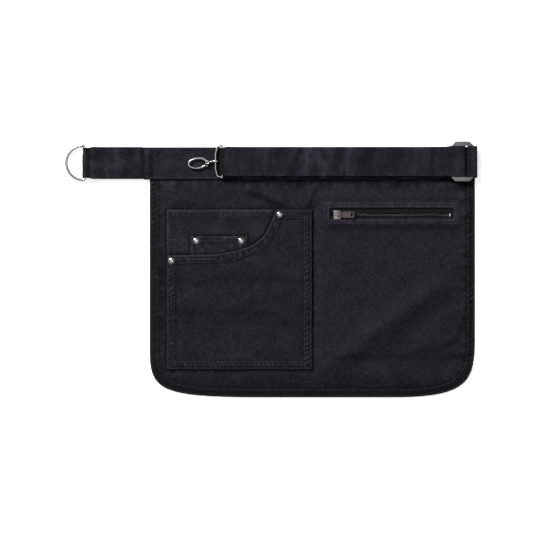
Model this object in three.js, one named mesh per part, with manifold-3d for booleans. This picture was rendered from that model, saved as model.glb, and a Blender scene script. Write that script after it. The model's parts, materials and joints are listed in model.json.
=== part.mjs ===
// A canvas waist apron that lies flat with its outside up: a waistband, a panel with a rounded hem,
// a patch pocket with a coin pocket, a zip pocket with its bag, and a waist strap with a snap hook.
// Millimetres. +X runs along the waistband, +Y towards its top edge, +Z up from the surface it lies on.
// Until the last lines the origin is where the panel's left edge meets the band's top edge.
import * as THREE from 'three';
import { mergeVertices } from 'three/addons/utils/BufferGeometryUtils.js';
import Module from 'manifold-3d';

const wasm = await Module();
wasm.setup();

// Cloth and gaps
const clothThickness = 1.0;
const clearance = 0.3;
const hemRise = 0.7;
const foldHeight = 1.3;

// Panel
const panelWidth = 420;
const panelLength = 323;
const panelTuck = 14;
const hemWidth = 11;
const leftCornerWidth = 142;
const leftCornerHeight = 59;
const rightCornerWidth = 103;
const rightCornerHeight = 77;
const panelGridStep = 19;
// Handles of the corners' curves, as shares of the corner along the side and along the hem
const leftSweep = { side: 0.15, hem: 0.1 };
const rightSweep = { side: 0.3, hem: 0.05 };
// How far the notches for the tab and the strap end above the band's lower edge
const notchCover = 1.2;

// Waistband
const bandHeight = 41.8;
const bandOverhang = 7.9;
const bandEndInset = 2.0;

// Belt tab and its ring
const tabLength = 78.3;
const tabHeight = 41.2;
const tabTongue = 19;
const tongueInset = 2;
const tabThickness = 1.4;
const tabTaper = 9;
const tabRise = 0.5;
// Where the tab leaves the band's level, and starts and ends its climb before the ring's bar, with the bends
const tabExit = { reach: 4, bend: 3 };
const tabClimb = { start: 24, startBend: 12, end: 8, endBend: 10 };
const ringWire = 4.0;
const ringSpan = 40;
const ringReach = 29.2;
const ringCorner = 2.4;

// Strap
const strapWidth = 38;
const strapThickness = 1.4;
const strapRise = 0.1;
const strapRoot = 22;
const strapFoldReach = 4.6;
const strapHookEnd = 91.5;
const strapSewnEnd = 52;
const strapRootDrop = 2.0;
const strapFoldFlat = 0.2;
// Room and bend where the strap goes down through the slider's slot
const slotDrop = { room: 1.5, bend: 1.1 };
// Slopes of the strap's upper run: after the hook's loop, over its own sewn end, and up to the slider
const loopSlope = { high: 4, highBend: 8, low: 24, lowBend: 20 };
const sewnSlope = { low: 14, lowBend: 10, high: 4, highBend: 6 };
const sliderSlope = { low: 10, lowBend: 6, high: 3, highBend: 4 };

// Slider that adjusts the strap
const sliderLength = 28.4;
const sliderHeight = 51.5;
const sliderSlotHeight = 40;
const sliderBar = 4.5;
const sliderMiddleBar = 4.0;
const sliderThickness = 1.8;
const sliderCorner = 5;
const sliderBevel = 0.35;
const sliderEndInset = 0.8;

// Snap hook and the loop that the strap folds round
const loopWire = 2.4;
const loopHeight = 44.9;
const loopLength = 11.7;
const loopCorner = 3.2;
const loopFoldCorner = 1.6;
const hookWire = 2.3;
const hookGapLength = 20.8;
const hookGapWidth = 10.2;
const hookPivotAt = 10.5;
const hookTilt = 6;
const stemRadius = 1.0;
const gateReach = 16.8;
const loopRise = 0.2;
const bossLength = 3.4;
const bossRadius = 2.3;
const bossChamfer = 0.4;
const neckLength = 12.9;
const lugRadius = 2.0;
const lugThickness = 0.9;
const pivotRadius = 0.8;
const rivetHead = { radius: 1.4, height: 0.6 };
const thumbRadius = 0.8;
// Arcs of the oval in degrees: the fixed side runs to the nose, and the gate closes the rest
const bodyArc = { from: 38, to: 262, steps: 18 };
const gateArc = { from: 330, to: 240, steps: 10 };
// Stem, head and neck of the hook; each row is a place along its axis and a radius
const shaftProfile = [
  { at: -8.9, radius: 0 },
  { at: -8.9, radius: 1.0 },
  { at: -5.2, radius: 1.4 },
  { at: -4.2, radius: 2.1 },
  { at: -2.0, radius: 1.9 },
  { at: -2.0, radius: stemRadius },
  { at: 2.0, radius: stemRadius },
  { at: 2.0, radius: 1.7 },
  { at: 2.9, radius: 1.3 },
  { at: 2.9, radius: 0 },
];

// Patch pocket
const pocketLeft = 22.2;
const pocketTop = 80.8;
const pocketWidth = 187;
const pocketLength = 206;
const pocketHem = 11;
const openingWidth = 141;
const openingDepth = 59;
const facingLength = 140;
const coinLeft = 53;
const coinTop = 114.7;
const coinWidth = 73;
const coinLength = 91.6;
const rivetRadius = 4.1;
const rivetHeight = 1.6;
// Centres of the rivets, in from the coin pocket's left, right and top, and from the opening's two ends
const coinRivets = { left: 7.2, right: 7.8, drop: 6.5 };
const openingRivets = { left: 6, leftDrop: 7, right: 4.6, rightDrop: 6.5 };
// Rows of a rivet's dome; each is a share of its radius and of its height
const rivetDome = [
  { out: 0, up: 0 },
  { out: 0.95, up: 0 },
  { out: 1, up: 0.3 },
  { out: 0.8, up: 0.75 },
  { out: 0.45, up: 0.96 },
  { out: 0, up: 1 },
];
const facingHemShare = 0.94;
const pocketGridStep = 24;

// Zip pocket
const zipLeft = 232.3;
const zipTop = 78.9;
const zipLength = 159;
const zipHeight = 13.4;
const chainDrop = 8.6;
const chainWidth = 4.2;
const chainThickness = 1.8;
const chainRise = 0.2;
const chainChamfer = { low: 0.5, lowIn: 0.6, high: 0.6, highIn: 0.9 };
const zipStop = { length: 1.6, inset: 4.5, rise: 0.5, narrower: 0.1 };
const zipMargin = 1;
const bagMouth = { side: 1, height: 2 };
const tapeWidth = 11;
const tapeEnd = 7;
const bagWidth = 181;
const bagLength = 197;
const bagCorner = 42;
const bagRise = 12;
const bagSide = 6.7;
const bagGap = 0.5;
const bagSeam = 4;
const zipSliderLength = 9.7;
const zipSliderWidth = 12.2;
const zipSliderPlate = 1.0;
const zipSliderAt = 9.8;
// Taper of the slider's plates towards the closed teeth, as shares of their width, and the wedge between them
const plateTaper = { length: 2, start: 0.92, end: 0.7, lowerInset: 1.2 };
const wedge = { start: 0.6, end: 0.1, half: 1.2, sunk: 0.1 };
const chainUnderSlider = 0.5;
const bailGap = 1.8;
const bailWidth = 2.0;
const bailWall = { side: 0.6, top: 1.0 };
const bailReach = 2.0;
const pullerLength = 21.5;
const pullerWidth = 8.5;
const pullerThickness = 1.2;
const pullerEye = 5.0;
const pullerShoulder = 3;
const pullerCorner = { along: 1.5, across: 1.2 };
const pullerNeckShare = 0.72;
const pullerWindow = { near: 5.4, far: 2.9, share: 0.55 };

// Cutters reach from below every piece to above it, and past the edges of what they cut
const cutLow = -1;
const cutHigh = 40;
const cutPast = 3;

// Levels above the surface
const bandCavity = strapThickness + 2 * clearance;
const bandTopZ = 2 * clothThickness + bandCavity;
const bandRight = panelWidth - bandEndInset;
const panelInBandZ = clothThickness + clearance;
const bagTopZ = 2 * clothThickness + bagGap;
const tapeZ = bagTopZ + clearance;
const chainZ = tapeZ + clothThickness / 2 - chainThickness / 2 + chainRise;
const panelOverZipZ = tapeZ + clothThickness + clearance;
const pocketStep = clothThickness + clearance;
const chainY = -(zipTop + chainDrop);

// Materials
const canvas = { color: 0x26232b, roughness: 0.92, metalness: 0 };
const tapeCloth = { color: 0x2b2d2c, roughness: 0.85, metalness: 0 };
const nickel = { color: 0xc9c9cc, roughness: 0.22, metalness: 1 };
const satinSteel = { color: 0xa8aaae, roughness: 0.4, metalness: 1 };
const gunmetal = { color: 0x4a4b4e, roughness: 0.35, metalness: 1 };

const clamp = THREE.MathUtils.clamp;
const degrees = THREE.MathUtils.degToRad;
const point = (x, y) => new THREE.Vector2(x, y);
const softStep = (t) => THREE.MathUtils.smoothstep(t, 0, 1);

// A closed geometry as a solid that can be joined and cut.
function solid(geometry) {
  geometry.deleteAttribute('normal');
  geometry.deleteAttribute('uv');
  const merged = mergeVertices(geometry, 1e-5);
  const vertProperties = new Float32Array(merged.attributes.position.array);
  const triVerts = new Uint32Array(merged.index.array);
  return new wasm.Manifold(new wasm.Mesh({ numProp: 3, vertProperties, triVerts }));
}

// The finished solid as a named mesh.
function piece(name, body, finish) {
  const found = body.getMesh();
  const geometry = new THREE.BufferGeometry();
  geometry.setAttribute('position', new THREE.BufferAttribute(found.vertProperties, 3));
  geometry.setIndex(new THREE.BufferAttribute(found.triVerts, 1));
  geometry.computeVertexNormals();
  const mesh = new THREE.Mesh(geometry, new THREE.MeshStandardMaterial(finish));
  mesh.name = name;
  return mesh;
}

// A flat outline pushed up from one level to another.
function slab(shape, low, high, curveSegments = 9) {
  const geometry = new THREE.ExtrudeGeometry(shape, {
    depth: high - low,
    bevelEnabled: false,
    curveSegments,
  });
  return solid(geometry.translate(0, 0, low));
}

function rectangle(left, right, bottom, top) {
  return new THREE.Shape([point(left, bottom), point(right, bottom), point(right, top), point(left, top)]);
}

function block(left, right, bottom, top, low, high) {
  return slab(rectangle(left, right, bottom, top), low, high);
}

// An upright round pin.
function pin(x, y, radius, low, high, sides = 16) {
  const geometry = new THREE.CylinderGeometry(radius, radius, high - low, sides);
  return solid(geometry.rotateX(Math.PI / 2).translate(x, y, (low + high) / 2));
}

// Grid lines at an even step, with the named lines kept and even ones too near to them dropped.
function gridLines(from, to, step, named = []) {
  const count = Math.ceil((to - from) / step);
  const kept = named.filter((v) => v > from + 0.5 && v < to - 0.5);
  const even = Array.from({ length: count + 1 }, (_, i) => from + ((to - from) * i) / count);
  const spaced = even.filter((v, i) => i === 0 || i === count || kept.every((k) => Math.abs(k - v) > step / 3));
  return [...new Set([...kept, ...spaced])].sort((a, b) => a - b);
}

// A sheet between two heights, given as functions of x and y, over a grid of lines.
function sheet(xs, ys, bottomAt, topAt) {
  const columns = xs.length - 1;
  const rows = ys.length - 1;
  const geometry = new THREE.BoxGeometry(columns, rows, 2, columns, rows, 1);
  const place = geometry.attributes.position;
  for (let i = 0; i < place.count; i += 1) {
    const x = xs[Math.round(place.getX(i) + columns / 2)];
    const y = ys[Math.round(place.getY(i) + rows / 2)];
    place.setXYZ(i, x, y, place.getZ(i) > 0 ? topAt(x, y) : bottomAt(x, y));
  }
  return solid(geometry);
}

// A sheet cut to an outline, thicker between the outline and its inner line, where the hem is turned.
function hemmedSheet(outline, inner, xs, ys, bottomAt) {
  const topAt = (x, y) => bottomAt(x, y) + clothThickness;
  const middleAt = (x, y) => bottomAt(x, y) + clothThickness / 2;
  const hemAt = (x, y) => topAt(x, y) + hemRise;
  const whole = slab(outline, cutLow, cutHigh);
  const body = sheet(xs, ys, bottomAt, topAt).intersect(whole);
  const hemZone = whole.subtract(slab(inner, cutLow - cutPast, cutHigh + cutPast));
  return body.add(sheet(xs, ys, middleAt, hemAt).intersect(hemZone));
}

// A share that is 1 inside a rectangle and fades to 0 outside it over a margin.
function plateau(x, y, zone, fade) {
  const dx = Math.max(zone.left - x, x - zone.right, 0);
  const dy = Math.max(zone.bottom - y, y - zone.top, 0);
  return softStep(1 - Math.hypot(dx, dy) / fade);
}

// A route with rounded corners; each row is a corner with its bend radius.
function route(rows) {
  const corners = rows.map(([x, y]) => point(x, y));
  const points = [corners[0]];
  for (let i = 1; i < rows.length - 1; i += 1) {
    const [back, ahead] = [corners[i - 1], corners[i + 1]].map((c) => c.clone().sub(corners[i]).normalize());
    const half = Math.acos(clamp(back.dot(ahead), -1, 1)) / 2;
    const turn = Math.PI - 2 * half;
    const reach = rows[i][2] / Math.tan(half);
    const inward = back.clone().add(ahead).normalize();
    const centre = inward.multiplyScalar(rows[i][2] / Math.sin(half)).add(corners[i]);
    const start = back.clone().multiplyScalar(reach).add(corners[i]);
    const way = Math.sign(back.x * ahead.y - back.y * ahead.x);
    const steps = Math.max(1, Math.ceil(turn / degrees(30)));
    for (let k = 0; k <= steps; k += 1) {
      points.push(start.clone().rotateAround(centre, (-way * turn * k) / steps));
    }
  }
  points.push(corners[corners.length - 1]);
  return points;
}

// The outline of a ribbon of one thickness along a route.
function ribbon(points, thickness) {
  const sides = [1, -1].map((side) =>
    points.map((p, i) => {
      const before = p.clone().sub(points[Math.max(i - 1, 0)]);
      const after = points[Math.min(i + 1, points.length - 1)].clone().sub(p);
      if (before.length() < 1e-6) before.copy(after);
      if (after.length() < 1e-6) after.copy(before);
      const along = before.normalize().add(after.normalize());
      const spread = along.length() / 2;
      along.normalize();
      return point(p.x - (side * along.y * thickness) / 2 / spread, p.y + (side * along.x * thickness) / 2 / spread);
    }),
  );
  return new THREE.Shape([...sides[1], ...sides[0].reverse()]);
}

// A ribbon whose route lies in X and Z, as wide as given below its top edge.
function flatRibbon(points, thickness, top, width) {
  const geometry = new THREE.ExtrudeGeometry(ribbon(points, thickness), { depth: width, bevelEnabled: false });
  return geometry.rotateX(Math.PI / 2).translate(0, top, 0);
}

// A flat line of points that a wire follows, step by step.
class WireRoute extends THREE.Curve {
  constructor(points) {
    super();
    this.points = points.map((p) => new THREE.Vector3(p.x, p.y, 0));
  }

  getSpacedPoints() {
    return this.points;
  }

  getTangentAt(t) {
    const last = this.points.length - 1;
    const i = Math.round(t * last);
    const before = this.points[Math.max(i - 1, 0)];
    const after = this.points[Math.min(i + 1, last)];
    return after.clone().sub(before).normalize();
  }
}

// A round wire along a flat line of points.
function wire(points, radius, sides = 8) {
  const section = new THREE.Shape(
    Array.from({ length: sides }, (_, i) => {
      const angle = (2 * Math.PI * (i + 0.5)) / sides;
      return point(radius * Math.cos(angle), radius * Math.sin(angle));
    }),
  );
  const settings = { extrudePath: new WireRoute(points), steps: points.length - 1, bevelEnabled: false };
  return solid(new THREE.ExtrudeGeometry(section, settings));
}

// A wire ring that is the same above and below the X axis, from its upper half's line of points.
function wireRing(upper, radius, sides = 8) {
  const half = wire(upper, radius, sides);
  return half.add(half.mirror([0, 1, 0]));
}

// The panel's or hem's outline: straight sides, and corners that sweep into the bottom edge.
function panelShape(inset, top) {
  const [left, right, bottom] = [inset, panelWidth - inset, -panelLength + inset];
  const shape = new THREE.Shape();
  shape.moveTo(left, top);
  shape.lineTo(left, bottom + leftCornerHeight - inset);
  shape.bezierCurveTo(
    left, bottom + (leftCornerHeight - inset) * leftSweep.side,
    left + (leftCornerWidth - inset) * leftSweep.hem, bottom,
    left + leftCornerWidth - inset, bottom,
  );
  shape.lineTo(right - rightCornerWidth + inset, bottom);
  shape.bezierCurveTo(
    right - (rightCornerWidth - inset) * rightSweep.hem, bottom,
    right, bottom + (rightCornerHeight - inset) * rightSweep.side,
    right, bottom + rightCornerHeight - inset,
  );
  shape.lineTo(right, top);
  return shape;
}

// The zip pocket's bag behind the panel, as its place and its outline moved in by an inset.
const bagZone = {
  left: zipLeft - bagSide,
  right: zipLeft - bagSide + bagWidth,
  top: -zipTop + bagRise,
  bottom: -zipTop + bagRise - bagLength,
};

function bagShape(inset) {
  const shape = new THREE.Shape();
  const [left, right] = [bagZone.left + inset, bagZone.right - inset];
  const [bottom, top, corner] = [bagZone.bottom + inset, bagZone.top - inset, bagCorner - inset];
  shape.moveTo(left, top);
  shape.lineTo(left, bottom + corner);
  shape.absarc(left + corner, bottom + corner, corner, Math.PI, 1.5 * Math.PI);
  shape.absarc(right - corner, bottom + corner, corner, 1.5 * Math.PI, 2 * Math.PI);
  shape.lineTo(right, top);
  return shape;
}

const zipZone = {
  left: zipLeft - tapeEnd - zipMargin,
  right: zipLeft + zipLength + tapeEnd + zipMargin,
  top: chainY + chainWidth / 2 + tapeWidth + zipMargin,
  bottom: chainY - chainWidth / 2 - tapeWidth - zipMargin,
};

// Folds of the panel. Ends are shares of its width and length, half width and rise of panelWidth and foldHeight.
const folds = [
  { x1: 0.88, y1: 0.56, x2: 0.57, y2: 0.86, spread: 0.035, rise: 1.0 },
  { x1: 0.31, y1: 0.17, x2: 0.4, y2: 0.22, spread: 0.016, rise: 0.6 },
  { x1: 0.515, y1: 0.16, x2: 0.497, y2: 0.24, spread: 0.016, rise: 0.7 },
  { x1: 0.62, y1: 0.9, x2: 0.74, y2: 0.93, spread: 0.025, rise: 0.6 },
  { x1: 0.03, y1: 0.42, x2: 0.026, y2: 0.66, spread: 0.014, rise: 0.5 },
];

function foldRise(x, y) {
  return folds.reduce((sum, f) => {
    const from = point(f.x1 * panelWidth, -f.y1 * panelLength);
    const along = point(f.x2 * panelWidth, -f.y2 * panelLength).sub(from);
    const place = point(x, y).sub(from);
    const share = clamp(place.dot(along) / along.lengthSq(), 0, 1);
    const away = place.sub(along.multiplyScalar(share)).length() / (f.spread * panelWidth);
    return sum + f.rise * foldHeight * Math.exp(-away * away);
  }, 0);
}

// Where the pocket lies the panel stays flat.
const pocketZone = {
  left: pocketLeft,
  right: pocketLeft + pocketWidth,
  top: -pocketTop,
  bottom: -pocketTop - pocketLength,
};
const bandZone = { left: -50, right: panelWidth + 50, top: 0, bottom: -bandHeight - 1 };
const pocketFade = 9;
const bandFade = 12;
const bagFade = 12;
const zipFade = 9;

function panelBottom(x, y) {
  const lifts = [
    panelInBandZ * plateau(x, y, bandZone, bandFade),
    (bagTopZ + clearance) * plateau(x, y, bagZone, bagFade),
    panelOverZipZ * plateau(x, y, zipZone, zipFade),
  ];
  const loose = (1 - plateau(x, y, pocketZone, pocketFade)) * (1 - plateau(x, y, bandZone, bandFade));
  return Math.max(...lifts) + loose * (1 - plateau(x, y, zipZone, zipFade)) * foldRise(x, y);
}

function fadeLines(zone, fade, axis) {
  const [low, high] = axis === 'x' ? [zone.left, zone.right] : [zone.bottom, zone.top];
  return [low - fade, low - fade / 2, low, high, high + fade / 2, high + fade];
}

// The front panel: one layer of canvas, turned at its hem, cut through for the zip, tucked into the band.
function apronPanel() {
  const tuckTop = -bandHeight + panelTuck;
  const zoneLines = (axis) => [...fadeLines(bagZone, bagFade, axis), ...fadeLines(zipZone, zipFade, axis)];
  const xs = gridLines(-1, panelWidth + 1, panelGridStep, zoneLines('x'));
  const bandLines = [0, bandFade / 3, (2 * bandFade) / 3, bandFade].map((v) => bandZone.bottom - v);
  const ys = gridLines(-panelLength - 1, tuckTop, panelGridStep, [...bandLines, ...zoneLines('y')]);
  const hemTop = -bandHeight - clearance;
  const outline = panelShape(0, tuckTop);
  const inner = panelShape(hemWidth, tuckTop + cutPast);
  const cutter = (left, right, bottom, top) => block(left, right, bottom, top, cutLow, cutHigh);
  const overHem = cutter(-cutPast, panelWidth + cutPast, hemTop, tuckTop + cutPast);
  const plain = sheet(xs, ys, panelBottom, (x, y) => panelBottom(x, y) + clothThickness);
  const full = hemmedSheet(outline, inner, xs, ys, panelBottom).subtract(overHem);
  const tucked = plain.intersect(slab(outline, cutLow, cutHigh)).intersect(overHem);
  const slot = cutter(zipLeft, zipLeft + zipLength, -zipTop - zipHeight, -zipTop);
  const notchBottom = -bandHeight + notchCover;
  const tabNotch = cutter(-cutPast, tabTongue - bandOverhang + clearance, notchBottom, 0);
  const strapNotch = cutter(bandRight - strapRoot - clearance, panelWidth + cutPast, notchBottom, 0);
  return full.add(tucked).subtract(slot).subtract(tabNotch).subtract(strapNotch);
}

// The band: canvas folded over the panel's top edge, open below for the panel and at both ends.
function waistband() {
  const mid = clothThickness / 2;
  const bend = (bandTopZ - clothThickness) / 2;
  const line = route([
    [-bandHeight, mid],
    [-mid, mid, bend],
    [-mid, bandTopZ - mid, bend],
    [-bandHeight, bandTopZ - mid],
  ]);
  const geometry = new THREE.ExtrudeGeometry(ribbon(line, clothThickness), {
    depth: bandRight + bandOverhang,
    bevelEnabled: false,
  });
  return solid(geometry.rotateX(Math.PI / 2).rotateZ(Math.PI / 2).translate(-bandOverhang, 0, 0));
}

// Belt tab: a strip folded back round the ring's bar, with its upper end inside the band.
const ringRadius = ringWire / 2;
const tabFold = ringRadius + clearance + tabThickness / 2;
const ringZ = tabThickness + clearance + ringRadius;
const ringX = -bandOverhang - tabLength + tabFold + tabThickness / 2;
const tabY = -bandHeight / 2 + tabRise;

function beltTab() {
  const tongueEnd = -bandOverhang + tabTongue;
  const tongueZ = clothThickness + clearance + tabThickness / 2;
  const upperZ = 1.5 * tabThickness + clearance;
  const line = route([
    [tongueEnd, tongueZ],
    [-bandOverhang - clothThickness, tongueZ, tabExit.bend],
    [-bandOverhang - tabExit.reach, upperZ, tabExit.bend],
    [ringX + tabClimb.start, upperZ, tabClimb.startBend],
    [ringX + tabClimb.end, ringZ + tabFold, tabClimb.endBend],
    [ringX - tabFold, ringZ + tabFold, tabFold],
    [ringX - tabFold, ringZ - tabFold, tabFold],
    [-bandOverhang - 3 * clearance, tabThickness / 2],
  ]);
  const body = solid(flatRibbon(line, tabThickness, tabY + tabHeight / 2, tabHeight));
  const atRing = ringSpan / 2 + ringRadius - ringCorner - clearance;
  const half = tabHeight / 2;
  const inBandLow = -bandHeight + tongueInset + tabRise;
  const inBandHigh = -tongueInset - clearance;
  const taperEnd = ringX + ringRadius + tabTaper;
  const beforeBand = -bandOverhang - clearance;
  const outline = new THREE.Shape([
    point(ringX - ringReach, tabY - atRing),
    point(ringX + ringRadius, tabY - atRing),
    point(taperEnd, tabY - half),
    point(beforeBand, tabY - half),
    point(beforeBand, inBandLow),
    point(tongueEnd + cutPast, inBandLow),
    point(tongueEnd + cutPast, inBandHigh),
    point(beforeBand, inBandHigh),
    point(beforeBand, tabY + half),
    point(taperEnd, tabY + half),
    point(ringX + ringRadius, tabY + atRing),
    point(ringX - ringReach, tabY + atRing),
  ]);
  return body.intersect(slab(outline, cutLow, cutHigh));
}

// D-ring: a straight bar, rounded corners and a half round bow, tilted so that the bow rests below.
function dRing() {
  const half = ringSpan / 2 + ringRadius;
  const bow = ringReach - ringWire - half;
  const upper = route([
    [0, 0],
    [0, half, ringCorner],
    [-bow, half],
  ]);
  for (let k = 1; k <= 8; k += 1) {
    const angle = (Math.PI / 2) * (1 + k / 8);
    upper.push(point(-bow + half * Math.cos(angle), half * Math.sin(angle)));
  }
  return wireRing(upper, ringRadius);
}

// Levels of the strap's runs, from the surface of the band up.
const strapMid = strapThickness / 2;
const strapStep = strapThickness + clearance;
const lowRunZ = bandTopZ + clearance + strapMid;
const highRunZ = lowRunZ + strapStep;
const sewnRunZ = highRunZ + strapStep;
const sliderZ = highRunZ + strapMid + clearance;
const overSliderZ = sliderZ + sliderThickness + clearance + strapMid;
const sliderRight = bandRight - sliderEndInset;
const sliderLeft = sliderRight - sliderLength;
const sliderMiddle = (sliderLeft + sliderRight) / 2;
const strapWrap = (overSliderZ - highRunZ) / 2;
const loopFold = (loopWire + strapThickness) / 2 + clearance;
const loopZ = lowRunZ + loopFold;
const loopX = strapHookEnd + loopFold + strapMid;
const strapTop = strapRise;
const strapY = strapTop - strapWidth / 2;

// Strap: out of the band's right end and back over it, down through the slider, along to the hook's loop,
// round it, back over itself, and round the slider's middle bar with its end sewn below.
function waistStrap() {
  const rootZ = clothThickness + clearance + strapMid;
  const foldX = bandRight + strapFoldReach - strapMid;
  const foldBend = strapFoldReach - strapMid - strapFoldFlat;
  const wrapX = sliderMiddle + sliderMiddleBar / 2 + strapWrap;
  const downX = wrapX + strapThickness + clearance + slotDrop.room;
  const sewnX = sliderLeft - strapSewnEnd / 2;
  const line = route([
    [bandRight - strapRoot, rootZ],
    [foldX, rootZ, foldBend],
    [foldX, overSliderZ, foldBend],
    [downX, overSliderZ, slotDrop.bend],
    [downX, lowRunZ, slotDrop.bend],
    [loopX - loopFold, lowRunZ, loopFold],
    [loopX - loopFold, loopZ + loopFold, loopFold],
    [loopX + loopSlope.high, loopZ + loopFold, loopSlope.highBend],
    [loopX + loopSlope.low, highRunZ, loopSlope.lowBend],
    [sewnX - sewnSlope.low, highRunZ, sewnSlope.lowBend],
    [sewnX - sewnSlope.high, sewnRunZ, sewnSlope.highBend],
    [sliderLeft - sliderSlope.low, sewnRunZ, sliderSlope.lowBend],
    [sliderLeft - sliderSlope.high, overSliderZ, sliderSlope.highBend],
    [wrapX, overSliderZ, strapWrap],
    [wrapX, highRunZ, strapWrap],
    [sewnX, highRunZ],
  ]);
  const geometry = flatRibbon(line, strapThickness, strapTop, strapWidth);
  const place = geometry.attributes.position;
  const inBandZ = rootZ + strapMid + 0.01;
  for (let i = 0; i < place.count; i += 1) {
    const atFold = place.getX(i) > bandRight - clothThickness;
    const share = atFold ? clamp((overSliderZ - place.getZ(i)) / (overSliderZ - inBandZ), 0, 1) : 0;
    const drop = place.getZ(i) < inBandZ ? 1 : share;
    place.setY(i, place.getY(i) - strapRootDrop * drop);
  }
  return solid(geometry);
}

// Slider: a frame with cut corners and a middle bar.
function strapSlider() {
  const [halfX, halfY, cut] = [sliderLength / 2, sliderHeight / 2, sliderCorner];
  const shape = new THREE.Shape([
    point(-halfX + cut, -halfY),
    point(halfX - cut, -halfY),
    point(halfX, -halfY + cut),
    point(halfX, halfY - cut),
    point(halfX - cut, halfY),
    point(-halfX + cut, halfY),
    point(-halfX, halfY - cut),
    point(-halfX, -halfY + cut),
  ]);
  const geometry = new THREE.ExtrudeGeometry(shape, {
    depth: sliderThickness - 2 * sliderBevel,
    bevelThickness: sliderBevel,
    bevelSize: sliderBevel,
    bevelOffset: -sliderBevel,
    bevelSegments: 1,
  });
  const slot = sliderSlotHeight / 2;
  const [near, far] = [sliderMiddleBar / 2, halfX - sliderBar];
  return solid(geometry.translate(0, 0, sliderBevel))
    .subtract(block(near, far, -slot, slot, cutLow, cutHigh))
    .subtract(block(-far, -near, -slot, slot, cutLow, cutHigh));
}

// Loop: a wire rectangle with round corners and a boss that the hook's stem turns in. Its near bar is at zero.
const loopSpacing = loopLength - loopWire;

function hookLoop() {
  const half = (loopHeight - loopWire) / 2;
  const upper = route([
    [0, 0],
    [0, half, loopFoldCorner],
    [-loopSpacing, half, loopCorner],
    [-loopSpacing, 0],
  ]);
  const ring = wireRing(upper, loopWire / 2);
  const end = bossLength / 2;
  const boss = turned([
    { at: -end, radius: 0 },
    { at: -end, radius: bossRadius - bossChamfer },
    { at: -end + bossChamfer, radius: bossRadius },
    { at: end - bossChamfer, radius: bossRadius },
    { at: end, radius: bossRadius - bossChamfer },
    { at: end, radius: 0 },
  ]);
  const hole = turned([
    { at: -end - cutPast, radius: 0 },
    { at: -end - cutPast, radius: stemRadius + clearance },
    { at: end + cutPast, radius: stemRadius + clearance },
    { at: end + cutPast, radius: 0 },
  ]);
  const place = (body) => body.rotate([0, 0, hookTilt]).translate([-loopSpacing, 0, 0]);
  return ring.add(place(boss)).subtract(place(hole));
}

// A round form turned about the X axis; each row is a place along it and a radius.
function turned(rows, sides = 14) {
  const geometry = new THREE.LatheGeometry(rows.map((row) => point(row.radius, row.at)), sides);
  return solid(geometry.rotateZ(-Math.PI / 2));
}

// Hook: the middle line of its oval, from an angle to another about the oval's centre.
const ovalX = -(neckLength + hookGapLength / 2);
const ovalLong = hookGapLength / 2 + hookWire / 2;
const ovalWide = hookGapWidth / 2 + hookWire / 2;
const ovalPoint = (angle) => point(ovalX + ovalLong * Math.cos(angle), ovalWide * Math.sin(angle));
const bossHalf = hookWire / 2 + 0.1;
const gateWire = hookWire - 0.2;
const lugZ = bossHalf + clearance;
const lugTop = lugZ + lugThickness;
const rivetHeadZ = lugTop + clearance;
const hookReach = 5;

function ovalLine(arc) {
  const angleAt = (i) => degrees(arc.from + ((arc.to - arc.from) * i) / arc.steps);
  return Array.from({ length: arc.steps + 1 }, (_, i) => ovalPoint(angleAt(i)));
}

// Round cutter about the gate's pivot, through the whole hook.
const atPivot = (radius, sides) => pin(-hookPivotAt, 0, radius, -hookReach, hookReach, sides);

// Body of the hook: stem with its head, neck, boss with the gate's rivet, and the wire round to the nose.
function hookBody() {
  const shaft = turned(shaftProfile);
  const boss = pin(-hookPivotAt, 0, lugRadius, -bossHalf, bossHalf, 18);
  const line = [point(-hookPivotAt + 0.1, 0.2), ...ovalLine(bodyArc)];
  const gateSide = block(2 * ovalX, 0, -2 * ovalWide, -0.5, -hookReach, hookReach);
  const gateSweep = atPivot(gateReach + clearance, 48).intersect(gateSide);
  const round = wire(line, hookWire / 2).subtract(gateSweep);
  const shank = pin(-hookPivotAt, 0, pivotRadius, bossHalf / 2, rivetHeadZ + rivetHead.height / 2, 10);
  const head = pin(-hookPivotAt, 0, rivetHead.radius, rivetHeadZ, rivetHeadZ + rivetHead.height, 12);
  return shaft.add(boss).add(round).add(shank).add(head);
}

// Gate of the hook: a lug on the rivet above the boss, the lower side of the oval, and a thumb tab.
function hookGate() {
  const line = ovalLine(gateArc);
  const side = wire(line, gateWire / 2).intersect(atPivot(gateReach, 48));
  const lug = pin(-hookPivotAt, 0, lugRadius, lugZ, lugTop);
  const [start, half] = [line[0], gateWire / 2 - 0.1];
  const armOutline = new THREE.Shape([
    point(-hookPivotAt + 0.4, -1.7),
    point(-hookPivotAt - 1.2, 1.3),
    point(start.x - half, start.y + half * 0.8),
    point(start.x + half * 0.4, start.y - half),
  ]);
  const arm = slab(armOutline, lugZ + 0.05, lugTop - 0.05);
  const riser = pin(start.x, start.y, half, -0.2, lugTop - 0.15, 10);
  const hole = atPivot(pivotRadius + clearance, 10);
  const thumbLine = [point(start.x + 0.4, start.y - 0.3), point(-11.7, -4.4), point(-10.6, -6.3)];
  const thumb = wire(thumbLine, thumbRadius, 6);
  return side.add(thumb).add(riser).add(lug.add(arm).subtract(hole));
}

// Patch pocket. Its front has a curved opening; each row is a share across and down the opening.
const openingCurve = [
  [0, 1],
  [0.22, 0.992],
  [0.4, 0.982],
  [0.55, 0.941],
  [0.67, 0.873],
  [0.79, 0.76],
  [0.873, 0.608],
  [0.925, 0.43],
  [0.96, 0.24],
  [1, 0],
];

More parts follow.
